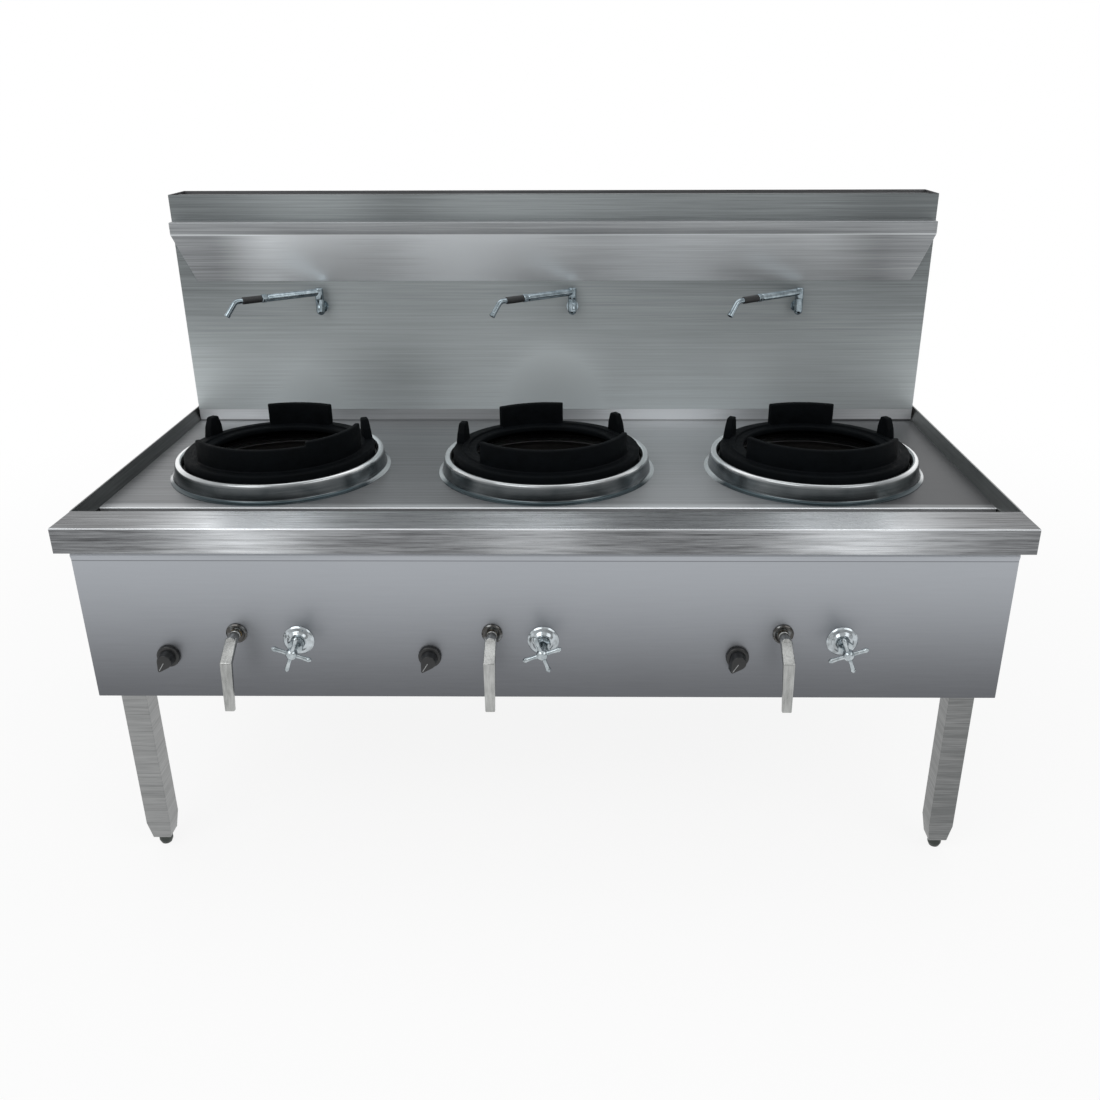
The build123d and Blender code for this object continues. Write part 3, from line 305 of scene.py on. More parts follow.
def softened(node, material, fold=0.0, crease=35):
    """A copy of a node with its triangles merged and its outer folds rounded, which stands for the node. Its
    faces point outwards as they come."""
    flat, folded, room = math.radians(0.4), math.radians(25), 2.2 * fold
    shape = bmesh.new()
    shape.from_mesh(nodes[node].data)
    bmesh.ops.remove_doubles(shape, verts=shape.verts, dist=1e-5)
    bmesh.ops.dissolve_limit(shape, angle_limit=flat, verts=shape.verts, edges=shape.edges)
    if fold:
        bevelled(shape, [
            edge for edge in shape.edges
            if edge.is_manifold and edge.calc_face_angle_signed() > folded
            and min(slimness(face) for face in edge.link_faces) > room
        ], fold)
    body = nodes[node]["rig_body"]
    piece = put_in_place(shape, node + "_sheet", material, body, [node], crease,
                         faces_out=True)
    weighted = piece.modifiers.new("flat_faces", "WEIGHTED_NORMAL")
    weighted.keep_sharp = True
    return piece


def eased(corners, closed=False, steps=4):
    """Points of an outline given as corners (x, y, radius), each rounded to its radius."""
    points = []
    for k, (x, y, radius) in enumerate(corners):
        corner = Vector((x, y))
        if radius == 0 or not closed and k in (0, len(corners) - 1):
            points.append(corner)
            continue
        before = (Vector(corners[k - 1][:2]) - corner).normalized()
        after = (Vector(corners[(k + 1) % len(corners)][:2]) - corner).normalized()
        half = before.angle(after) / 2
        centre = corner + (before + after).normalized() * radius / math.sin(half)
        start = corner + before * radius / math.tan(half) - centre
        end = corner + after * radius / math.tan(half) - centre
        turn = start.angle_signed(end)
        points += [centre + Matrix.Rotation(-turn * s / steps, 2) @ start for s in range(steps + 1)]
    return points


def turned(shape, outline, foot, axis, closed=False, steps=64, angle=2 * math.pi, start=0.0):
    """Spins an outline of (radius, height) points about an axis that rises from a foot point."""
    axis = Vector(axis).normalized()
    foot = Vector(foot)
    side = Vector((1, 0, 0)) if abs(axis.x) < 0.9 else Vector((0, 0, 1))
    side = (side - axis * side.dot(axis)).normalized()
    side = Matrix.Rotation(start, 3, axis) @ side
    ring = [shape.verts.new(foot + side * radius + axis * height) for radius, height in outline]
    edges = [shape.edges.new(pair) for pair in zip(ring, ring[1:])]
    if closed:
        edges.append(shape.edges.new((ring[-1], ring[0])))
    full = math.isclose(angle, 2 * math.pi)
    made = bmesh.ops.spin(shape, geom=ring + edges, cent=foot, axis=axis, angle=angle, steps=steps,
                          use_merge=full)
    if not full:
        shape.faces.new(ring)
        shape.faces.new([v for v in made["geom_last"] if isinstance(v, bmesh.types.BMVert)])


def leg_light(place, streaks):
    """Painted light: the left legs are painted lighter than the right ones."""
    return 0 - 0.33 * place.along("X") - 0.06


leg_finish = brushed_steel(
    "leg_tube", dark=(0.16, 0.165, 0.165), light=(0.34, 0.345, 0.345), grain=(14, 14, 500), roughness=0.36,
    brush=1.6, cloud=0.2, painted_light=leg_light)
leg_fold = 0.0025
foot_finish, foot_shader, foot_place = new_finish("dark_zinc", metallic=0.9, roughness=0.45)
zinc = foot_place.noise(60, 3).mix((0.03, 0.036, 0.033), (0.09, 0.10, 0.094))
zinc.into(foot_shader.inputs["Base Color"])
relief(foot_shader, foot_place.noise(500, 2), strength=0.15, depth=0.0004)
foot_flat, foot_side, foot_stem, foot_chamfer, foot_flange = 0.0105, 0.014, 0.008, 0.0084, 0.024
for corner in ("front_left", "front_right", "rear_left", "rear_right"):
    softened(f"leg_{corner}", leg_finish, fold=leg_fold)
    low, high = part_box(f"foot_{corner}")
    centre = ((low.x + high.x) / 2, (low.y + high.y) / 2, 0)
    foot = bmesh.new()
    turned(foot, eased([
        (0, 0, 0), (foot_flat, 0, 0.0012), (foot_side, foot_chamfer, 0.004), (foot_side, foot_flange, 0.0012),
        (foot_stem, foot_flange, 0), (foot_stem, high.z, 0.001), (0, high.z, 0),
    ]), centre, (0, 0, 1), steps=48)
    body = f"foot_{corner}"
    put_in_place(foot, f"foot_{corner}_turned", foot_finish, body, [f"foot_{corner}"])

# Frame rails and deck stiffeners
# Rectangular tube welded between the legs and channels under the deck, unseen from the cook's side.
rail_finish = brushed_steel(
    "rail_tube", dark=(0.16, 0.16, 0.165), light=(0.34, 0.34, 0.35), grain=(14, 14, 600), roughness=0.42)
rail_fold, channel_fold = 0.002, 0.0015
softened("frame_rails", rail_finish, fold=rail_fold)
softened("deck_stiffeners", rail_finish, fold=channel_fold)

# Deck, gutter and drain
# The hob deck is one sheet with a folded front lip over the gutter, satin and grey, with painted light and
# shade.
deck_front_y, upstand_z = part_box("deck")[0].y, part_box("collar_1")[0].z + 0.002


def spot(place, centre, width):
    """A soft light at one place across the range, 1 at its centre."""
    off = (place.along("X") - centre) / width
    return off.math("EXPONENT", 0 - off * off)


def glows(place, lights):
    """The sum of soft lights, each given by its centre, its width and its strength."""
    return sum(gain * spot(place, centre, width) for centre, width, gain in lights)


upstand_lights = ((0.28, 0.2, 0.55), (-0.85, 0.25, 0.6), (0.85, 0.2, 0.7))


def deck_light(place, streaks):
    """The deck is painted dull, with painted light between the second and third burners and along its front
    fold, and painted shade towards its right end. Its rear upstand is painted brighter."""
    x, y = place.along("X"), place.along("Y")
    flat = 0.25 * spot(place, 0.28, 0.17) + 0.06 * y.ease(0.02, 0.38) - 0.22 * x.ease(0.5, 0.8) - 0.36
    flat = flat + 0.25 * y.ease(deck_front_y + 0.03, deck_front_y + 0.012)
    flat = flat + (0.25 + 0.25 * x.ease(-0.4, 0.3)) * y.ease(deck_front_y + 0.006, deck_front_y + 0.004)
    upright = place.along("Z").ease(upstand_z, upstand_z + 0.003)
    return flat + upright * (0.22 + glows(place, upstand_lights))


deck_finish = brushed_steel(
    "deck_sheet", dark=(0.10, 0.103, 0.107), light=(0.93, 0.96, 0.985), grain=(6, 640, 640), roughness=0.42,
    brush=0.28, cloud=0.1, metallic=0.85, painted_light=deck_light)
softened("deck", deck_finish)
# The gutter sheet is painted darker than the other steel: painted shade in the trough under the deck's lip.
gutter_finish = brushed_steel(
    "gutter_sheet", dark=(0.03, 0.032, 0.033), light=(0.11, 0.112, 0.115), grain=(6, 600, 600),
    roughness=0.45)
softened("front_gutter", gutter_finish)
softened("drain_outlet", rail_finish)


# Rim
# Folded rails round the table. Painted reflections of the room lie on the front rail in streaky patches.
rim_front_y, rim_top_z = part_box("rim_front")[0].y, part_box("rim_front")[1].z
rim_lights = ((-0.55, 0.135, 1.1), (-0.01, 0.12, 0.58), (0.575, 0.14, 1.3))
rim_fold, side_rim_fold = 0.0022, 0.0018


def rim_light(place, streaks):
    """Three broad painted highlights drawn out into streaks, fainter on the front face and cut off towards
    the ends of the top, which is painted darker there, with a painted highlight along the fold."""
    x = place.along("X")
    flat = place.along("Y").ease(rim_front_y + 0.001, rim_front_y + 0.004)
    fold = (1 - flat) * place.along("Z").ease(rim_top_z - 0.003, rim_top_z - 0.001)
    ends = flat * (0.35 * x.ease(-0.57, -0.65) + 0.5 * x.ease(0.6, 0.68))
    glow = glows(place, rim_lights) * (1 - ends) * (0.35 + 1.3 * streaks) * (0.38 + 0.62 * flat)
    shade = 0.38 - 0.03 * flat + 0.08 * flat * (x.ease(-0.6, -0.85) + x.ease(0.6, 0.8))
    return glow - shade + 0.5 * fold


rim_finish = brushed_steel(
    "rim_sheet", dark=(0.08, 0.082, 0.086), light=(0.92, 0.95, 0.98), grain=(15, 560, 560), roughness=0.28,
    brush=0.55, cloud=0.1, metallic=0.8, painted_light=rim_light)
softened("rim_front", rim_finish, fold=rim_fold)


def side_rim_light(place, streaks):
    """Painted light: the right rail is painted lighter than the left one."""
    return 0.45 * place.along("X").ease(-0.5, 0.5) - 0.25


side_rim_finish = brushed_steel(
    "side_rim_sheet", dark=(0.07, 0.073, 0.072), light=(0.36, 0.37, 0.367), grain=(600, 6, 600),
    roughness=0.38, brush=0.6, painted_light=side_rim_light)
for side in ("left", "right"):
    softened(f"rim_{side}", side_rim_finish, fold=side_rim_fold)


# Casing
# A satin front apron with a small drip bead under the rim, and plain side and rear panels.
apron_low, apron_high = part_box("front_apron")
bead_z = apron_high.z - 0.016
sheet_fold = 0.0016


def apron_light(place, streaks):
    """Painted lighter at the top than at the foot, a painted reflection, with a painted highlight on the drip
    bead under the rim and a painted shadow line below it.
    """
    z = place.along("Z")
    shade = 0.95 * (z.ease(apron_low.z - 0.03, apron_high.z) - 0.5)
    # Painted highlight on the drip bead, and a painted shadow line just below it.
    bead_highlight = 0.9 * z.ease(bead_z - 0.001, bead_z + 0.0005)
    line = 0.7 * z.ease(bead_z - 0.003, bead_z - 0.002) * z.ease(bead_z - 0.0003, bead_z - 0.0012)
    return shade + (bead_highlight - line)


apron_finish = brushed_steel(
    "apron_sheet", dark=(0.13, 0.135, 0.145), light=(0.40, 0.42, 0.45), grain=(30, 700, 700), roughness=0.40,
    brush=0.12, cloud=0.1, painted_light=apron_light)
softened("front_apron", apron_finish, fold=sheet_fold)
panel_finish = brushed_steel(
    "panel_sheet", dark=(0.13, 0.13, 0.135), light=(0.32, 0.32, 0.33), grain=(8, 8, 600), roughness=0.40)
for panel in ("side_panel_left", "side_panel_right", "rear_panel"):
    softened(panel, panel_finish, fold=sheet_fold)

# Splashback
# A tall brushed panel in front of the flue duct, with a sloping shelf across its head.
splash_low, splash_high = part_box("splash_panel")
splash_lights = ((-0.08, 0.3, 0.14), (-0.55, 0.16, 0.12))
splash_foot_lights = ((-0.62, 0.1, 0.36), (-0.36, 0.1, -0.2), (0.0, 0.1, 0.7), (0.48, 0.12, 0.25))


def splash_light(place, streaks):
    """Painted lighter low on the panel, where the rings would darken it, with painted light at its middle
    and left, three brighter painted lights at its foot, and painted shade in strips under its top and up its
    ends."""
    x, z = place.along("X"), place.along("Z")
    shade = 0.6 * (z.ease(splash_low.z + 0.36, splash_low.z - 0.05) - 0.5)
    foot = glows(place, splash_foot_lights) * z.ease(splash_low.z + 0.22, splash_low.z + 0.06)
    top = (0.05 + 0.12 * spot(place, -0.35, 0.1)) * z.ease(splash_high.z - 0.09, splash_high.z - 0.04)
    left_end = 0.10 * x.ease(-0.6, -0.85) * z.ease(splash_low.z + 0.1, splash_low.z + 0.25)
    right_end = 0.12 * x.ease(0.6, 0.8)
    return shade + glows(place, splash_lights) + foot - top - left_end - right_end


splash_finish = brushed_steel(
    "splash_sheet", dark=(0.150, 0.165, 0.169), light=(0.68, 0.735, 0.75), grain=(5, 560, 560),
    roughness=0.50, brush=0.45, cloud=0.15, metallic=0.75, painted_light=splash_light)
softened("splash_panel", splash_finish, fold=sheet_fold)
shelf_bend_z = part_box("splash_shelf")[1].z - 0.028
shelf_lights = ((-0.55, 0.14, 0.35), (-0.15, 0.22, 0.38), (0.45, 0.15, 0.1))
shelf_fold = 0.0022


def shelf_light(place, streaks):
    """The slope under the shelf is painted with the light of the room, most left of its middle and least at
    its ends, with a painted highlight along the bend."""
    x, z = place.along("X"), place.along("Z")
    slope = z.ease(shelf_bend_z + 0.001, shelf_bend_z - 0.001)
    fold = spot(place.add("CombineXYZ", {}, {0: z}), shelf_bend_z, 0.0015)
    tilt = 0.5 + glows(place, shelf_lights) - 0.55 * x.ease(-0.64, -0.8) - 0.5 * x.ease(0.58, 0.78)
    return tilt * slope + 0.5 * fold - 0.26


shelf_finish = brushed_steel(
    "shelf_sheet", dark=(0.117, 0.123, 0.130), light=(0.92, 0.96, 0.985), grain=(5, 640, 640), roughness=0.42,
    brush=0.45, cloud=0.2, metallic=0.75, painted_light=shelf_light)
softened("splash_shelf", shelf_finish, fold=shelf_fold)
softened("flue_duct", panel_finish, fold=sheet_fold)

# Collars
# Spun stainless collars on the deck: a flared foot, a leaning wall and a rolled top round the iron, with a
# painted highlight on the roll and at the sides of the foot.
collar_low, collar_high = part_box("collar_2")
collar_z = collar_low.z
ring_y = (collar_low.y + collar_high.y) / 2
burner_x = [sum(corner.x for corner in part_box(f"collar_{i}")) / 2 for i in (1, 2, 3)]
burner_pitch = burner_x[1] - burner_x[0]
collar_foot, collar_wall, collar_top, collar_throat, collar_ledge = 0.234, 0.2255, 0.2200, 0.2065, 0.188
collar_rise = collar_high.z - collar_z
ledge_rise, collar_gauge, collar_lip, collar_flare = 0.020, 0.002, 0.0012, 0.0034
collar_finish, collar_shader, place = new_finish("spun_steel", metallic=1.0, roughness=0.22)
round_x = place.math("WRAP", place.along("X") - burner_x[1], burner_pitch / 2, -burner_pitch / 2)
round_y = place.along("Y") - ring_y
radius = (round_x * round_x + round_y * round_y).math("SQRT", round_x * round_x + round_y * round_y)
bearing = place.math("ARCTAN2", round_y, round_x)
spun = place.add("CombineXYZ", {}, {0: radius * 420, 1: place.along("Z") * 420, 2: bearing * 1.5})
spun_lines = spun.noise(1.0, 3.0)
mottle = place.add("CombineXYZ", {}, {0: bearing * 2.2, 1: place.along("Z") * 14, 2: radius * 10})
mottle = mottle.noise(1.0, 2.0)
cosine = bearing.math("COSINE", bearing)
aside = cosine * cosine
rise = place.along("Z") - collar_z
# Painted highlights: the rolled top is painted bright, most at the sides, and the foot is painted bright at
# its sides and darker at its front.
roll_highlight = (0.25 + 0.6 * aside.ease(0.3, 0.8)) * rise.ease(collar_rise - 0.010, collar_rise - 0.003)
foot = (0.9 * aside.ease(0.75, 0.97) - 0.16) * rise.ease(0.007, 0.003)
tone = 0.09 + 0.2 * (spun_lines - 0.5) + 0.5 * (mottle - 0.5).math("ABSOLUTE", mottle - 0.5) + roll_highlight + foot
collar_colour_with_highlights = tone.clamp().mix((0.045, 0.062, 0.070), (0.95, 0.97, 0.98))
# The inner face of the throat under the roll is painted near black.
inner_edge = 0.225
inside = (radius + 0.15 * rise).ease(inner_edge + 0.0002, inner_edge - 0.0002)
inside = inside * rise.ease(collar_rise - 0.005, collar_rise - 0.009)
throat_darkened_colour = inside.add("Mix", {"data_type": "RGBA"}, {0: inside, 6: collar_colour_with_highlights, 7: (0.003, 0.003, 0.003, 1)}, out=2)
throat_darkened_colour.into(collar_shader.inputs["Base Color"])
(1 - inside).into(collar_shader.inputs["Metallic"])
collar_shader.inputs["Specular IOR Level"].default_value = 0.1
(0.22 + 0.2 * (mottle - 0.5)).into(collar_shader.inputs["Roughness"])
relief(collar_shader, spun_lines, strength=0.08, depth=0.0003)
for i, x in enumerate(burner_x, start=1):
    collar = bmesh.new()
    turned(collar, eased([
        (collar_foot, 0, 0), (collar_foot, collar_lip, 0.0005), (collar_wall, collar_flare, 0.006),
        (collar_top, collar_rise, 0.0062), (collar_throat, collar_rise, 0.0060),
        (collar_throat, ledge_rise, 0.003), (collar_ledge, ledge_rise, 0.0008),
        (collar_ledge, ledge_rise - collar_gauge, 0.0008),
        (collar_throat + collar_gauge, ledge_rise - collar_gauge, 0.003),
        (collar_throat + collar_gauge, collar_rise - collar_gauge, 0.003),
        (collar_top - collar_gauge, collar_rise - collar_gauge, 0.004),
        (collar_wall - collar_gauge, collar_flare, 0.002), (collar_wall - collar_gauge, 0, 0),
    ], closed=True, steps=5), (x, ring_y, collar_z), (0, 0, 1), closed=True, steps=160)
    put_in_place(collar, f"collar_{i}_spun", collar_finish, "range_body", [f"collar_{i}"],
                 crease=30)


# Wok rings
# Loose sand-cast iron rings: a heavy flange, a tall wall on the cook's side that shields the flame, a wide
# lug at the back and a pointed one at each side to cradle the wok. Their skin is rough and heat blackened.
def cast_onto(shape, piece, edge):
    """Adds a piece to a casting, with its sharp edges rounded."""
    bmesh.ops.recalc_face_normals(piece, faces=piece.faces)
    sharp = [e for e in piece.edges if e.is_manifold and e.calc_face_angle() > math.radians(50)]
    bevelled(piece, sharp, edge)
    mesh = bpy.data.meshes.new("cast_on")
    piece.to_mesh(mesh)
    piece.free()
    shape.from_mesh(mesh)
    bpy.data.meshes.remove(mesh)


def cast_wall(shape, outline, centre, start, end):
    """A piece of wall between two bearings in degrees."""
    degrees_per_step, fewest_steps = 2.5, 6
    piece = bmesh.new()
    turned(piece, outline, centre, (0, 0, 1), closed=True,
           steps=max(fewest_steps, round((end - start) / degrees_per_step)),
           angle=math.radians(end - start), start=math.radians(start))
    cast_onto(shape, piece, wall_edge)


def drawn_out(shape, face, way):
    """Draws a face out into a solid, and gives the points of its far end."""
    grown = bmesh.ops.extrude_face_region(shape, geom=[face])["geom"]
    far = [v for v in grown if isinstance(v, bmesh.types.BMVert)]
    bmesh.ops.translate(shape, verts=far, vec=way)
    return far


ring_outer, ring_bore, flange_rise, flange_plate, skirt_wall = 0.201, 0.150, 0.030, 0.012, 0.009
wall_outer, wall_inner, wall_edge = 0.180, 0.169, 0.003
sunk, proud = 0.002, 0.001      # how deep walls and lugs sink into the flange, and stand past the low wall
low_wall, high_wall = flange_rise + 0.004, flange_rise + 0.047
wall_bearings = ((216, 356), (222, 344), (208, 329))
step_bearing, step_height = 303, 0.009
rear_lug_half, rear_lug_rise = 24.5, flange_rise + 0.049
side_lug_bearing, side_lug_rise = 67, flange_rise + 0.044
side_lug_face, side_lug_depth, side_lug_splay, side_lug_edge = 0.193, 0.015, 0.005, 0.0025
side_lug_foot, side_lug_waist, side_lug_tip = 0.020, 0.018, 0.0105
ring_turn = (88, 104, 90)
side_lug_shift = (0, -2, 0)
iron_finish, iron_shader, place = new_finish("black_iron", metallic=0.0, roughness=0.62)
iron_shader.inputs["Specular IOR Level"].default_value = 0.05
grit = place.noise(620, 4.0, 0.65)
scale = place.noise(46, 3.0, 0.6)
soot = place.noise(7, 2.0)
tone = 0.45 + 1.2 * (scale - 0.5) + 0.8 * (grit - 0.5) + 0.6 * (soot - 0.5)
tone.clamp().mix((0.0008, 0.0013, 0.0017), (0.0042, 0.0056, 0.0070)).into(iron_shader.inputs["Base Color"])
(0.64 + 0.5 * (scale - 0.5)).into(iron_shader.inputs["Roughness"])
relief(iron_shader, grit + 0.8 * scale, strength=0.5, depth=0.0009)
for i, x in enumerate(burner_x, start=1):
    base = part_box(f"wok_ring_{i}")[0].z
    centre = (x, ring_y, base)
    iron = bmesh.new()
    turned(iron, eased([
        (ring_outer - skirt_wall, 0, 0.002), (ring_outer, 0, 0.002), (ring_outer, flange_rise, 0.005),
        (wall_outer + 2 * proud, flange_rise, 0.003), (wall_outer, low_wall, 0.0015),
        (wall_inner, low_wall, 0.0015), (wall_inner - proud, flange_rise, 0.0015),
        (ring_bore, flange_rise, 0.004), (ring_bore, flange_rise - flange_plate, 0.003),
        (ring_outer - skirt_wall, flange_rise - flange_plate, 0.004),
    ], closed=True), centre, (0, 0, 1), closed=True, steps=144)
    foot = flange_rise - sunk
    tall = [(wall_inner - proud / 2, foot), (wall_outer + proud, foot)]
    first, last = wall_bearings[i - 1]
    cast_wall(iron, tall + [(wall_outer, high_wall), (wall_inner, high_wall)], centre, first, last)
    if i == 1:
        step_top = high_wall + step_height
        cast_wall(iron, tall + [(wall_outer, step_top), (wall_inner, step_top)], centre, step_bearing, last)
    lug = ring_turn[i - 1]
    cast_wall(iron, [
        (wall_inner - proud, foot), (wall_outer + proud, foot),
        (wall_outer + proud, rear_lug_rise), (wall_inner - proud, rear_lug_rise),
    ], centre, lug - rear_lug_half, lug + rear_lug_half)
    for turn in (-side_lug_bearing, side_lug_bearing):
        bearing = math.radians(lug + turn + side_lug_shift[i - 1])
        outward = Vector((math.cos(bearing), math.sin(bearing), 0))
        across = Vector((-outward.y, outward.x, 0))
        root = Vector(centre) + outward * side_lug_face
        waist = (flange_rise + side_lug_rise) / 2
        ear = bmesh.new()
        face = ear.faces.new([
            ear.verts.new(root + across * u + Vector((0, 0, v))) for u, v in eased([
                (-side_lug_foot, foot, 0), (side_lug_foot, foot, 0), (side_lug_waist, waist, 0.004),
                (side_lug_tip, side_lug_rise, 0.006), (-side_lug_tip, side_lug_rise, 0.006),
                (-side_lug_waist, waist, 0.004),
            ], closed=True)])
        drawn_out(ear, face, -outward * side_lug_depth)
        for vert in face.verts:
            drop = (side_lug_rise - vert.co.z + base) / (side_lug_rise - flange_rise)
            vert.co += outward * side_lug_splay * drop
        cast_onto(iron, ear, side_lug_edge)
    put_in_place(iron, f"wok_ring_{i}_cast", iron_finish, f"ring_{i}", [f"wok_ring_{i}"],
                 crease=40)

# Drums, fire linings and burners
# Sheet drums hang under the deck, lined with pale refractory, with a cast multi-jet burner in the middle.
drum_finish = brushed_steel(
    "drum_sheet", dark=(0.004, 0.004, 0.004), light=(0.02, 0.019, 0.018), grain=(60, 60, 160), roughness=0.7,
    metallic=0.0)
drum_finish.node_tree.nodes["Principled BSDF"].inputs["Specular IOR Level"].default_value = 0.08
lining_finish, lining_shader, place = new_finish("fire_lining", metallic=0.0, roughness=0.9)
lining_shader.inputs["Specular IOR Level"].default_value = 0.06
grain = place.noise(180, 4.0, 0.65)
scorch = place.along("Z").ease(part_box("chamber_linings")[0].z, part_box("chamber_linings")[1].z)
tone = 0.9 * scorch + 0.4 * place.noise(14, 3.0) + 0.3 * (grain - 0.5)
tone.clamp().mix((0.10, 0.082, 0.066), (0.003, 0.003, 0.003)).into(lining_shader.inputs["Base Color"])
relief(lining_shader, grain, strength=0.6, depth=0.002)
burner_finish, burner_shader, place = new_finish("scorched_iron", metallic=0.2, roughness=0.7)
scorched = place.noise(40, 3.0).mix((0.012, 0.011, 0.010), (0.06, 0.045, 0.034))
scorched.into(burner_shader.inputs["Base Color"])
relief(burner_shader, place.noise(500, 3.0), strength=0.4, depth=0.0008)
softened("chamber_linings", lining_finish)
for i in (1, 2, 3):
    softened(f"chamber_{i}", drum_finish)
    softened(f"burner_{i}", burner_finish, crease=40)

# Pilot knobs
# Moulded black knobs: a round skirt and a tapered pointer, with a thin pale rib along its crest as a painted
# highlight.
apron_face = apron_low.y + 0.003
knob_gap, knob_skirt_radius, knob_skirt, knob_grip_radius = 0.0005, 0.022, 0.008, 0.016
knob_tip_reach, knob_tip_radius, knob_height = 0.025, 0.0035, 0.029
knob_fold, knob_sunk, knob_draft, knob_crown = 0.0035, 0.001, 0.86, 0.0016
knob_bearing = math.radians(238)
round_steps, tip_steps = 24, 8
crest_highlight_size, crest_highlight_reach, crest_highlight_sunk, crest_highlight_edge = (0.019, 0.0004, 0.0013), 0.0115, 0.0001, 0.00015
knob_finish, knob_shader, place = new_finish("black_moulding", metallic=0.0, roughness=0.36)
moulding = place.noise(90, 2.0).mix((0.006, 0.0065, 0.007), (0.014, 0.015, 0.016))
moulding.into(knob_shader.inputs["Base Color"])
(0.34 + 0.2 * (place.noise(30, 2.0) - 0.5)).into(knob_shader.inputs["Roughness"])
relief(knob_shader, place.noise(1400, 1.0), strength=0.15, depth=0.0002)
# Painted highlight: a thin pale rib along the pointer's crest stands for the light on it.
crest_highlight_finish, crest_highlight_shader, place = new_finish("crest_highlight", metallic=0.0, roughness=0.5)
place.noise(200, 2.0).mix((0.30, 0.31, 0.31), (0.42, 0.43, 0.43)).into(crest_highlight_shader.inputs["Base Color"])
pivots = {joint["name"]: Vector(joint["pos_m"]) for joint in frame["joints"] if joint["type"] == "hinge"}
outwards = Vector((0, -1, 0))
for i in (1, 2, 3):
    pivot = pivots[f"knob_{i}_turn"]
    back = Vector((pivot.x, apron_face - knob_gap, pivot.z))
    knob = bmesh.new()
    turned(knob, eased([
        (0, 0, 0), (knob_skirt_radius, 0, 0.001), (knob_skirt_radius, knob_skirt, knob_fold),
        (0, knob_skirt + 0.0006, 0),
    ]), back, outwards, steps=56)
    spread = math.acos((knob_grip_radius - knob_tip_radius) / knob_tip_reach)
    pointer = Vector((math.cos(knob_bearing), 0, math.sin(knob_bearing)))
    hull = []
    for k in range(round_steps + 1):
        angle = knob_bearing + spread + (2 * math.pi - 2 * spread) * k / round_steps
        hull.append(back + Vector((math.cos(angle), 0, math.sin(angle))) * knob_grip_radius)
    for k in range(tip_steps + 1):
        angle = knob_bearing - spread + 2 * spread * k / tip_steps
        tip = pointer * knob_tip_reach + Vector((math.cos(angle), 0, math.sin(angle))) * knob_tip_radius
        hull.append(back + tip)
    grip = knob.faces.new([knob.verts.new(point + outwards * (knob_skirt - knob_sunk)) for point in hull])
    top = drawn_out(knob, grip, outwards * (knob_height - knob_skirt + knob_sunk))
    bmesh.ops.scale(knob, verts=top, vec=(knob_draft, 1, knob_draft),
                    space=Matrix.Translation(-back - outwards * knob_height))
    bmesh.ops.recalc_face_normals(knob, faces=knob.faces)
    crown = [e for e in knob.edges if all(v in top for v in e.verts) and e.is_manifold
             and e.calc_face_angle() > math.radians(40)]
    bevelled(knob, crown, knob_crown)
    put_in_place(knob, f"knob_{i}_moulded", knob_finish, f"pilot_knob_{i}", [f"knob_{i}"],
                 crease=40)
    # The painted highlight rib along the crest.
    line = bmesh.new()
    bmesh.ops.create_cube(line, size=1.0)
    bmesh.ops.scale(line, verts=line.verts, vec=crest_highlight_size)
    bmesh.ops.rotate(line, verts=line.verts, matrix=Matrix.Rotation(-knob_bearing, 3, "Y"))
    bmesh.ops.translate(line, verts=line.verts,
                        vec=back + outwards * (knob_height - crest_highlight_sunk) + pointer * crest_highlight_reach)
    bevelled(line, line.edges[:], crest_highlight_edge, segments=2)
    put_in_place(line, f"knob_{i}_line", crest_highlight_finish, f"pilot_knob_{i}")

# Gas levers
# Bent bars of satin steel on a round hub, pushed sideways by the cook's knee, behind them a turned rosette.
rosette_radius, rosette_depth = 0.020, 0.005
hub_radius, hub_length = 0.010, 0.034
groove_near, groove_far, groove_depth, groove_slope, groove_edge = 0.006, 0.009, 0.0012, 0.0006, 0.0004
bar_width, bar_gauge, bar_taper, bar_edge, tip_zone = 0.022, 0.009, 0.002, 0.0018, 0.006
slope_run, slope_drop, hang, flare = 0.037, 0.024, 0.093, 0.013
lever_finish, lever_shader, place = new_finish("satin_bar", metallic=1.0, roughness=0.30)
rub = place.scaled(260, 260, 24).noise(1.0, 3.0)
tone = 0.5 + 1.0 * (rub - 0.5) + 0.8 * (place.noise(24, 2.0) - 0.5)
tone.clamp().mix((0.22, 0.225, 0.22), (0.56, 0.57, 0.56)).into(lever_shader.inputs["Base Color"])
(0.30 + 0.2 * (rub - 0.5)).into(lever_shader.inputs["Roughness"])
relief(lever_shader, rub, strength=0.08, depth=0.0003)
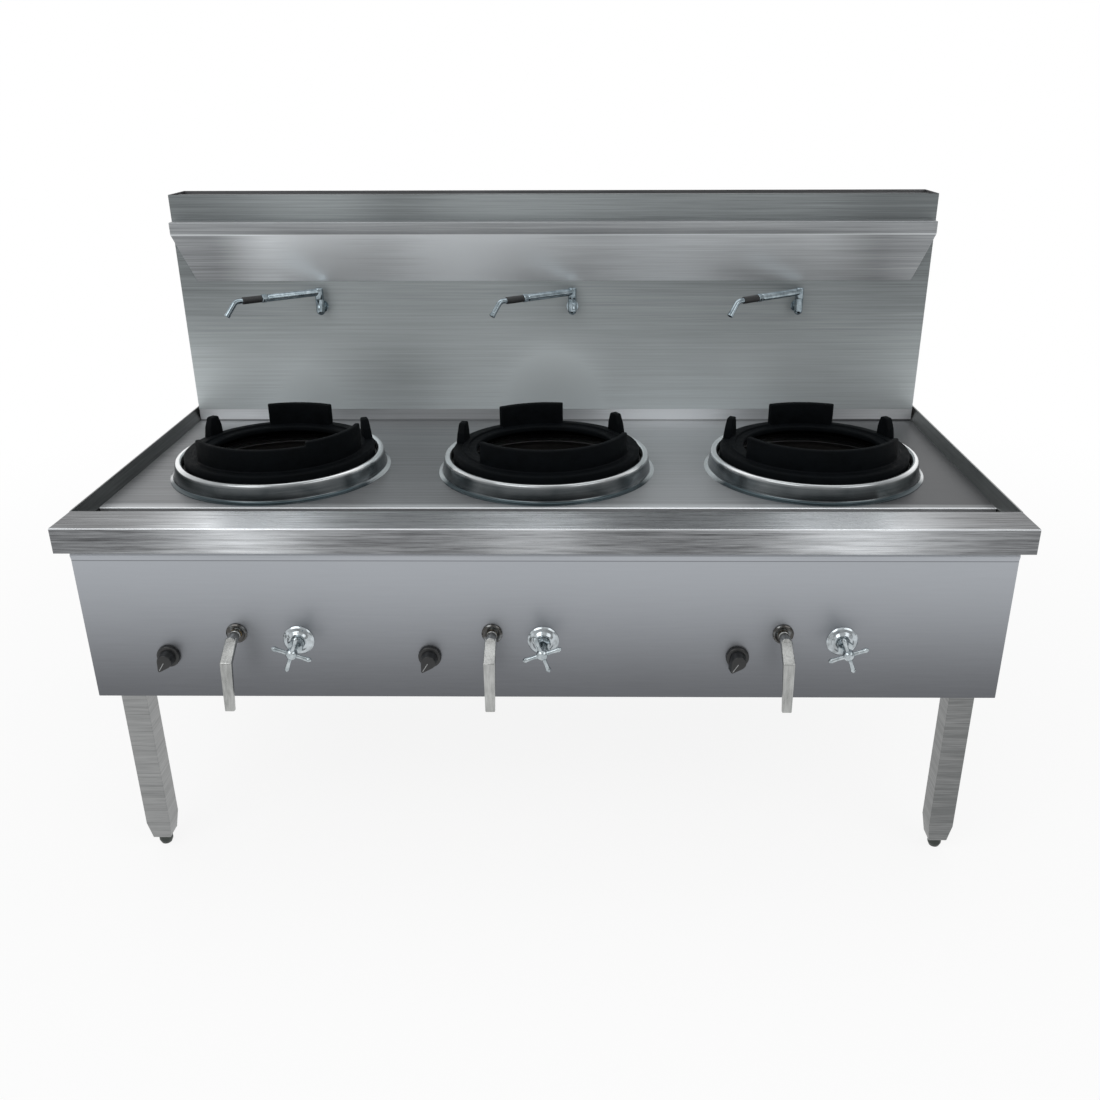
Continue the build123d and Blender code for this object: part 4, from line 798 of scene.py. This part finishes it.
for i in (1, 2, 3):
    pivot = pivots[f"lever_{i}_swing"]
    back = Vector((pivot.x, apron_face - rosette_depth - 0.0005, pivot.z))
    lever = bmesh.new()
    turned(lever, eased([
        (0, 0, 0), (hub_radius, 0, 0.0006), (hub_radius, groove_near, groove_edge),
        (hub_radius - groove_depth, groove_near + groove_slope, groove_edge),
        (hub_radius - groove_depth, groove_far - groove_slope, groove_edge),
        (hub_radius, groove_far, groove_edge), (hub_radius, hub_length, 0.002), (0, hub_length, 0),
    ]), back, outwards, steps=48)
    front = back + outwards * hub_length
    bend = front + outwards * slope_run + Vector((0, 0, -slope_drop))
    end = bend + outwards * flare + Vector((0, 0, -hang))
    route = [front - outwards * bar_gauge + Vector((0, 0, 0.003)), bend, end]
    outline = []
    for offset in (bar_gauge / 2, -bar_gauge / 2):
        run = []
        for k, point in enumerate(route):
            before = (point - route[k - 1]).normalized() if k else None
            after = (route[k + 1] - point).normalized() if k < 2 else None
            way = ((before or after) + (after or before)).normalized()
            reach = 1 / math.cos(way.angle(after or before))
            run.append(point + Vector((0, -way.z, way.y)) * offset * reach)
        outline += run if offset > 0 else run[::-1]
    face = lever.faces.new([lever.verts.new(p - Vector((bar_width / 2, 0, 0))) for p in outline])
    drawn_out(lever, face, Vector((bar_width, 0, 0)))
    for vert in lever.verts:
        if vert.co.z < end.z + tip_zone:
            vert.co.x += bar_taper if vert.co.x < pivot.x else -bar_taper
    bmesh.ops.recalc_face_normals(lever, faces=lever.faces)
    arrises = [
        e for e in lever.edges
        if e.is_manifold and e.calc_length() > 0.004 and e.calc_face_angle() > math.radians(20)
        and min(v.co.y for v in e.verts) < front.y - 0.0001
        or e.is_manifold and e.calc_length() > 0.02 and e.calc_face_angle() > math.radians(60)
    ]
    bevelled(lever, arrises, bar_edge, segments=4)
    put_in_place(lever, f"lever_{i}_bar", lever_finish, f"gas_lever_{i}", [f"lever_{i}"],
                 crease=40)

# Escutcheons
# Turned rosettes behind the levers and spun domes behind the taps, chromed, tight on the apron.
def chromed(name, dark, light):
    """Chromium plate over brass, a little bloomed and uneven."""
    material, shader, place = new_finish(name, metallic=1.0, roughness=0.10)
    bloom = place.noise(70, 3.0, 0.6)
    (0.5 + 1.8 * (bloom - 0.5)).clamp().mix(dark, light).into(shader.inputs["Base Color"])
    (0.09 + 0.12 * place.noise(30, 2.0)).into(shader.inputs["Roughness"])
    relief(shader, place.noise(160, 2.0), strength=0.05, depth=0.0005)
    return material


chrome_finish = chromed("chrome", (0.20, 0.24, 0.26), (0.62, 0.67, 0.69))
spout_finish = chromed("spout_chrome", (0.10, 0.135, 0.155), (0.44, 0.51, 0.55))
rosette_finish, rosette_shader, place = new_finish("escutcheon_chrome", metallic=1.0, roughness=0.16)
on_rosette = sum(spot(place, pivots[f"lever_{i}_swing"].x, 0.03) for i in (1, 2, 3)).ease(0.3, 0.5)
tone = 0.75 - 0.75 * on_rosette + 1.4 * (place.noise(80, 3.0) - 0.5)
tone.clamp().mix((0.075, 0.073, 0.070), (0.56, 0.61, 0.64)).into(rosette_shader.inputs["Base Color"])
relief(rosette_shader, place.noise(160, 2.0), strength=0.05, depth=0.0005)
tap_flange_radius, tap_flange, bonnet_radius, stem_gap = 0.030, 0.011, 0.013, 0.0002
dome_shoulder, dome_rise, dome_top, flange_edge = 0.0215, 0.0060, 0.0165, 0.003
escutcheons = bmesh.new()
for i in (1, 2, 3):
    pivot = pivots[f"lever_{i}_swing"]
    turned(escutcheons, eased([
        (hub_radius + stem_gap, 0, 0), (rosette_radius, 0, 0), (rosette_radius, 0.0028, 0.0008),
        (rosette_radius - flange_edge, rosette_depth, 0.002), (hub_radius + stem_gap, rosette_depth, 0.0005),
    ], closed=True), (pivot.x, apron_face, pivot.z), outwards, closed=True, steps=56)
    pivot = pivots[f"tap_{i}_turn"]
    turned(escutcheons, eased([
        (bonnet_radius + stem_gap, 0, 0), (tap_flange_radius, 0, 0), (tap_flange_radius, 0.0016, 0.0006),
        (tap_flange_radius - flange_edge, 0.0040, 0.003), (dome_shoulder, dome_rise, 0.008),
        (dome_top, tap_flange, 0.003), (bonnet_radius + stem_gap, tap_flange, 0.0005),
    ], closed=True), (pivot.x, apron_face, pivot.z), outwards, closed=True, steps=64)
put_in_place(escutcheons, "escutcheons_chromed", rosette_finish, "range_body", ["escutcheons"],
             crease=40)

# Taps
# Screw-down valves with a hexagon nut in front of the dome, and a four-armed chromed cross handle.
softened("tap_valves", chrome_finish, crease=40)
hub_gap, handle_hub_radius, handle_hub = 0.048, 0.011, 0.017
arm_reach, arm_root, arm_waist, arm_end = 0.0385, 0.0046, 0.0036, 0.0052
arm_start, waist_reach, swell_reach, ball_depth = 0.004, 0.018, 0.030, 0.0052
tap_bearings = (-20, 20, 20)
for i in (1, 2, 3):
    pivot = pivots[f"tap_{i}_turn"]
    back = Vector((pivot.x, apron_face - hub_gap, pivot.z))
    handle = bmesh.new()
    turned(handle, eased([
        (0, 0, 0), (handle_hub_radius - 0.001, 0, 0.0015), (handle_hub_radius, 0.006, 0.003),
        (handle_hub_radius - 0.001, 0.013, 0.003), (0.006, handle_hub, 0.003), (0, handle_hub, 0),
    ]), back, outwards, steps=40)
    for quarter in range(4):
        bearing = math.radians(tap_bearings[i - 1] + 90 * quarter)
        way = Vector((math.cos(bearing), 0, math.sin(bearing)))
        turned(handle, eased([
            (0, arm_start, 0), (arm_root, arm_start, 0.001), (arm_waist, waist_reach, 0.02),
            (arm_end - 0.0008, swell_reach, 0.012), (arm_end, arm_reach - ball_depth, 0.002),
            (0.002, arm_reach, 0.002), (0, arm_reach, 0),
        ]), back + outwards * handle_hub / 2, way, steps=24)
    put_in_place(handle, f"tap_handle_{i}_cross", chrome_finish, f"tap_{i}", [f"tap_handle_{i}"],
                 crease=40)

# Pipework and gas valves
# Behind the apron: brass valves, painted gas pipe, thin pilot tubes and stainless water pipe up to the
# spouts.
brass_finish, brass_shader, place = new_finish("cast_brass", metallic=1.0, roughness=0.42)
place.noise(60, 3.0).mix((0.30, 0.21, 0.09), (0.56, 0.42, 0.20)).into(brass_shader.inputs["Base Color"])
relief(brass_shader, place.noise(700, 2.0), strength=0.2, depth=0.0005)
gas_finish, gas_shader, place = new_finish("ochre_paint", metallic=0.0, roughness=0.48)
place.noise(30, 3.0).mix((0.36, 0.22, 0.03), (0.52, 0.34, 0.05)).into(gas_shader.inputs["Base Color"])
relief(gas_shader, place.noise(300, 2.0), strength=0.2, depth=0.0005)
water_finish = brushed_steel(
    "water_tube", dark=(0.24, 0.245, 0.25), light=(0.46, 0.47, 0.48), grain=(120, 120, 120), roughness=0.3)
softened("gas_valves", brass_finish)
softened("gas_pipework", gas_finish)
softened("water_pipework", water_finish)

# Swivel spouts
# A fixed chromed post on the splash, and on it an arm that swings over the hob, with a knuckle, a black
# grip sleeve and a bent nozzle.
post_radius, head_height, arm_radius, arm_length = 0.010, 0.026, 0.0085, 0.130
neck_depth, neck_half, neck_slope = 0.002, 0.001, 0.002
knuckle_radius, knuckle_length, knuckle_edge = 0.0096, 0.012, 0.0012
core_radius, sleeve_gap, grip_radius, grip_length, grip_edge = 0.005, 0.0001, 0.008, 0.046, 0.0012
groove_count, groove_pitch, groove_half, sleeve_groove, groove_rounding = 11, 0.0038, 0.0007, 0.0005, 0.0003
nozzle_radius, nozzle_run, nozzle_bend = 0.006, 0.016, 0.014
tip_run, tip_step, tip_collar, tip_depth = 0.006, 0.0004, 0.0052, 0.004
tip_swell, tip_ease, tip_bore = 1.13, 0.95, 0.76
nozzle_fall = Vector((0.024, -0.031))
spout_bearing = math.radians(218)
softened("spout_posts", spout_finish, crease=50)
grip_finish, grip_shader, place = new_finish("black_sleeve", metallic=0.0, roughness=0.55)
sleeve = place.noise(120, 2.0).mix((0.006, 0.0065, 0.007), (0.016, 0.017, 0.018))
sleeve.into(grip_shader.inputs["Base Color"])
relief(grip_shader, place.noise(900, 2.0), strength=0.3, depth=0.0004)


def push(tube, ring, vector, scale=1.0):
    """Draws the end ring of a tube out, and widens or narrows it about its centre."""
    grown = bmesh.ops.extrude_edge_only(tube, edges=ring)["geom"]
    verts = [v for v in grown if isinstance(v, bmesh.types.BMVert)]
    bmesh.ops.translate(tube, verts=verts, vec=vector)
    centre = sum((v.co for v in verts), Vector()) / len(verts)
    bmesh.ops.scale(tube, verts=verts, vec=(scale,) * 3, space=Matrix.Translation(-centre))
    return [e for e in grown if isinstance(e, bmesh.types.BMEdge)]


for i in (1, 2, 3):
    pivot = pivots[f"spout_{i}_swivel"]
    head_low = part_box(f"spout_arm_{i}")[0].z
    arm_z = head_low + head_height - post_radius
    way = Vector((math.cos(spout_bearing), math.sin(spout_bearing), 0))
    crown = Vector((pivot.x, pivot.y, head_low))
    root = Vector((pivot.x, pivot.y, arm_z))
    arm = bmesh.new()
    turned(arm, eased([
        (0, 0, 0), (post_radius, 0, 0.0006), (post_radius, head_height, 0.0035), (0, head_height, 0),
    ]), crown, (0, 0, 1), steps=48)
    turned(arm, eased([
        (0, 0, 0), (arm_radius, 0, 0), (arm_radius, arm_length - neck_half - neck_slope, 0.001),
        (arm_radius - neck_depth, arm_length - neck_half, 0.0005),
        (arm_radius - neck_depth, arm_length + neck_half, 0.0005), (0, arm_length + neck_half, 0),
    ]), root, way, steps=40)
    knuckle_start = root + way * arm_length
    turned(arm, eased([
        (0, 0, 0), (knuckle_radius - knuckle_edge, 0, 0.0004), (knuckle_radius, knuckle_edge, 0.0004),
        (knuckle_radius, knuckle_length - knuckle_edge, 0.0004),
        (knuckle_radius - knuckle_edge, knuckle_length, 0.0004), (0, knuckle_length, 0),
    ], steps=2), knuckle_start, way, steps=8)
    core_length = knuckle_length + grip_length
    core = [(0, 0), (core_radius, 0), (core_radius, core_length), (0, core_length)]
    turned(arm, core, knuckle_start, way, steps=24)
    put_in_place(arm, f"spout_arm_{i}_chromed", spout_finish, f"spout_{i}", [f"spout_arm_{i}"],
                 crease=40)
    grip_start = root + way * (arm_length + knuckle_length)
    grip = bmesh.new()
    sleeve_bore = core_radius + sleeve_gap
    ribs = [(sleeve_bore, 0, 0), (grip_radius, 0, grip_edge)]
    for k in range(1, groove_count + 1):
        groove = groove_pitch * k
        ribs += [(grip_radius, groove - groove_half, groove_rounding),
                 (grip_radius - sleeve_groove, groove, groove_rounding),
                 (grip_radius, groove + groove_half, groove_rounding)]
    ribs += [(grip_radius, grip_length, grip_edge), (sleeve_bore, grip_length, 0)]
    turned(grip, eased(ribs, closed=True, steps=1), grip_start, way, closed=True, steps=36)
    put_in_place(grip, f"spout_grip_{i}_sleeve", grip_finish, f"spout_{i}", [f"spout_grip_{i}"],
                 crease=40)
    start = grip_start + way * grip_length
    side = Vector((way.y, -way.x, 0))
    turn = math.atan2(-nozzle_fall.y, nozzle_fall.x)
    tangent = nozzle_bend * math.tan(turn / 2)
    nozzle = bmesh.new()
    facing = Matrix.Translation(start) @ way.to_track_quat("Z", "Y").to_matrix().to_4x4()
    bmesh.ops.create_circle(nozzle, cap_ends=False, radius=nozzle_radius, segments=36, matrix=facing)
    ring = push(nozzle, nozzle.edges[:], way * (nozzle_run - tangent))
    heart = start + way * (nozzle_run - tangent) + Vector((0, 0, -nozzle_bend))
    ring_verts = {vert for edge in ring for vert in edge.verts}
    spun = bmesh.ops.spin(nozzle, geom=ring + [v for v in nozzle.verts if v in ring_verts], cent=heart,
                          axis=-side, angle=turn, steps=10)["geom_last"]
    ring = [e for e in spun if isinstance(e, bmesh.types.BMEdge)]
    down_way = (way * math.cos(turn) - Vector((0, 0, math.sin(turn)))).normalized()
    straight = nozzle_fall.length - tangent
    for vector, scale in (
        (down_way * (straight - tip_run), 1.0), (down_way * tip_step, tip_swell),
        (down_way * tip_collar, 1.0), (down_way * tip_step, tip_ease),
        (Vector(), tip_bore), (-down_way * tip_depth, 1.0),
    ):
        ring = push(nozzle, ring, vector, scale)
    bmesh.ops.edgeloop_fill(nozzle, edges=ring)
    back_ring = [e for e in nozzle.edges if e.is_boundary]
    bmesh.ops.edgeloop_fill(nozzle, edges=back_ring)
    put_in_place(nozzle, f"spout_nozzle_{i}_bent", spout_finish, f"spout_{i}", [f"spout_nozzle_{i}"],
                 crease=40)
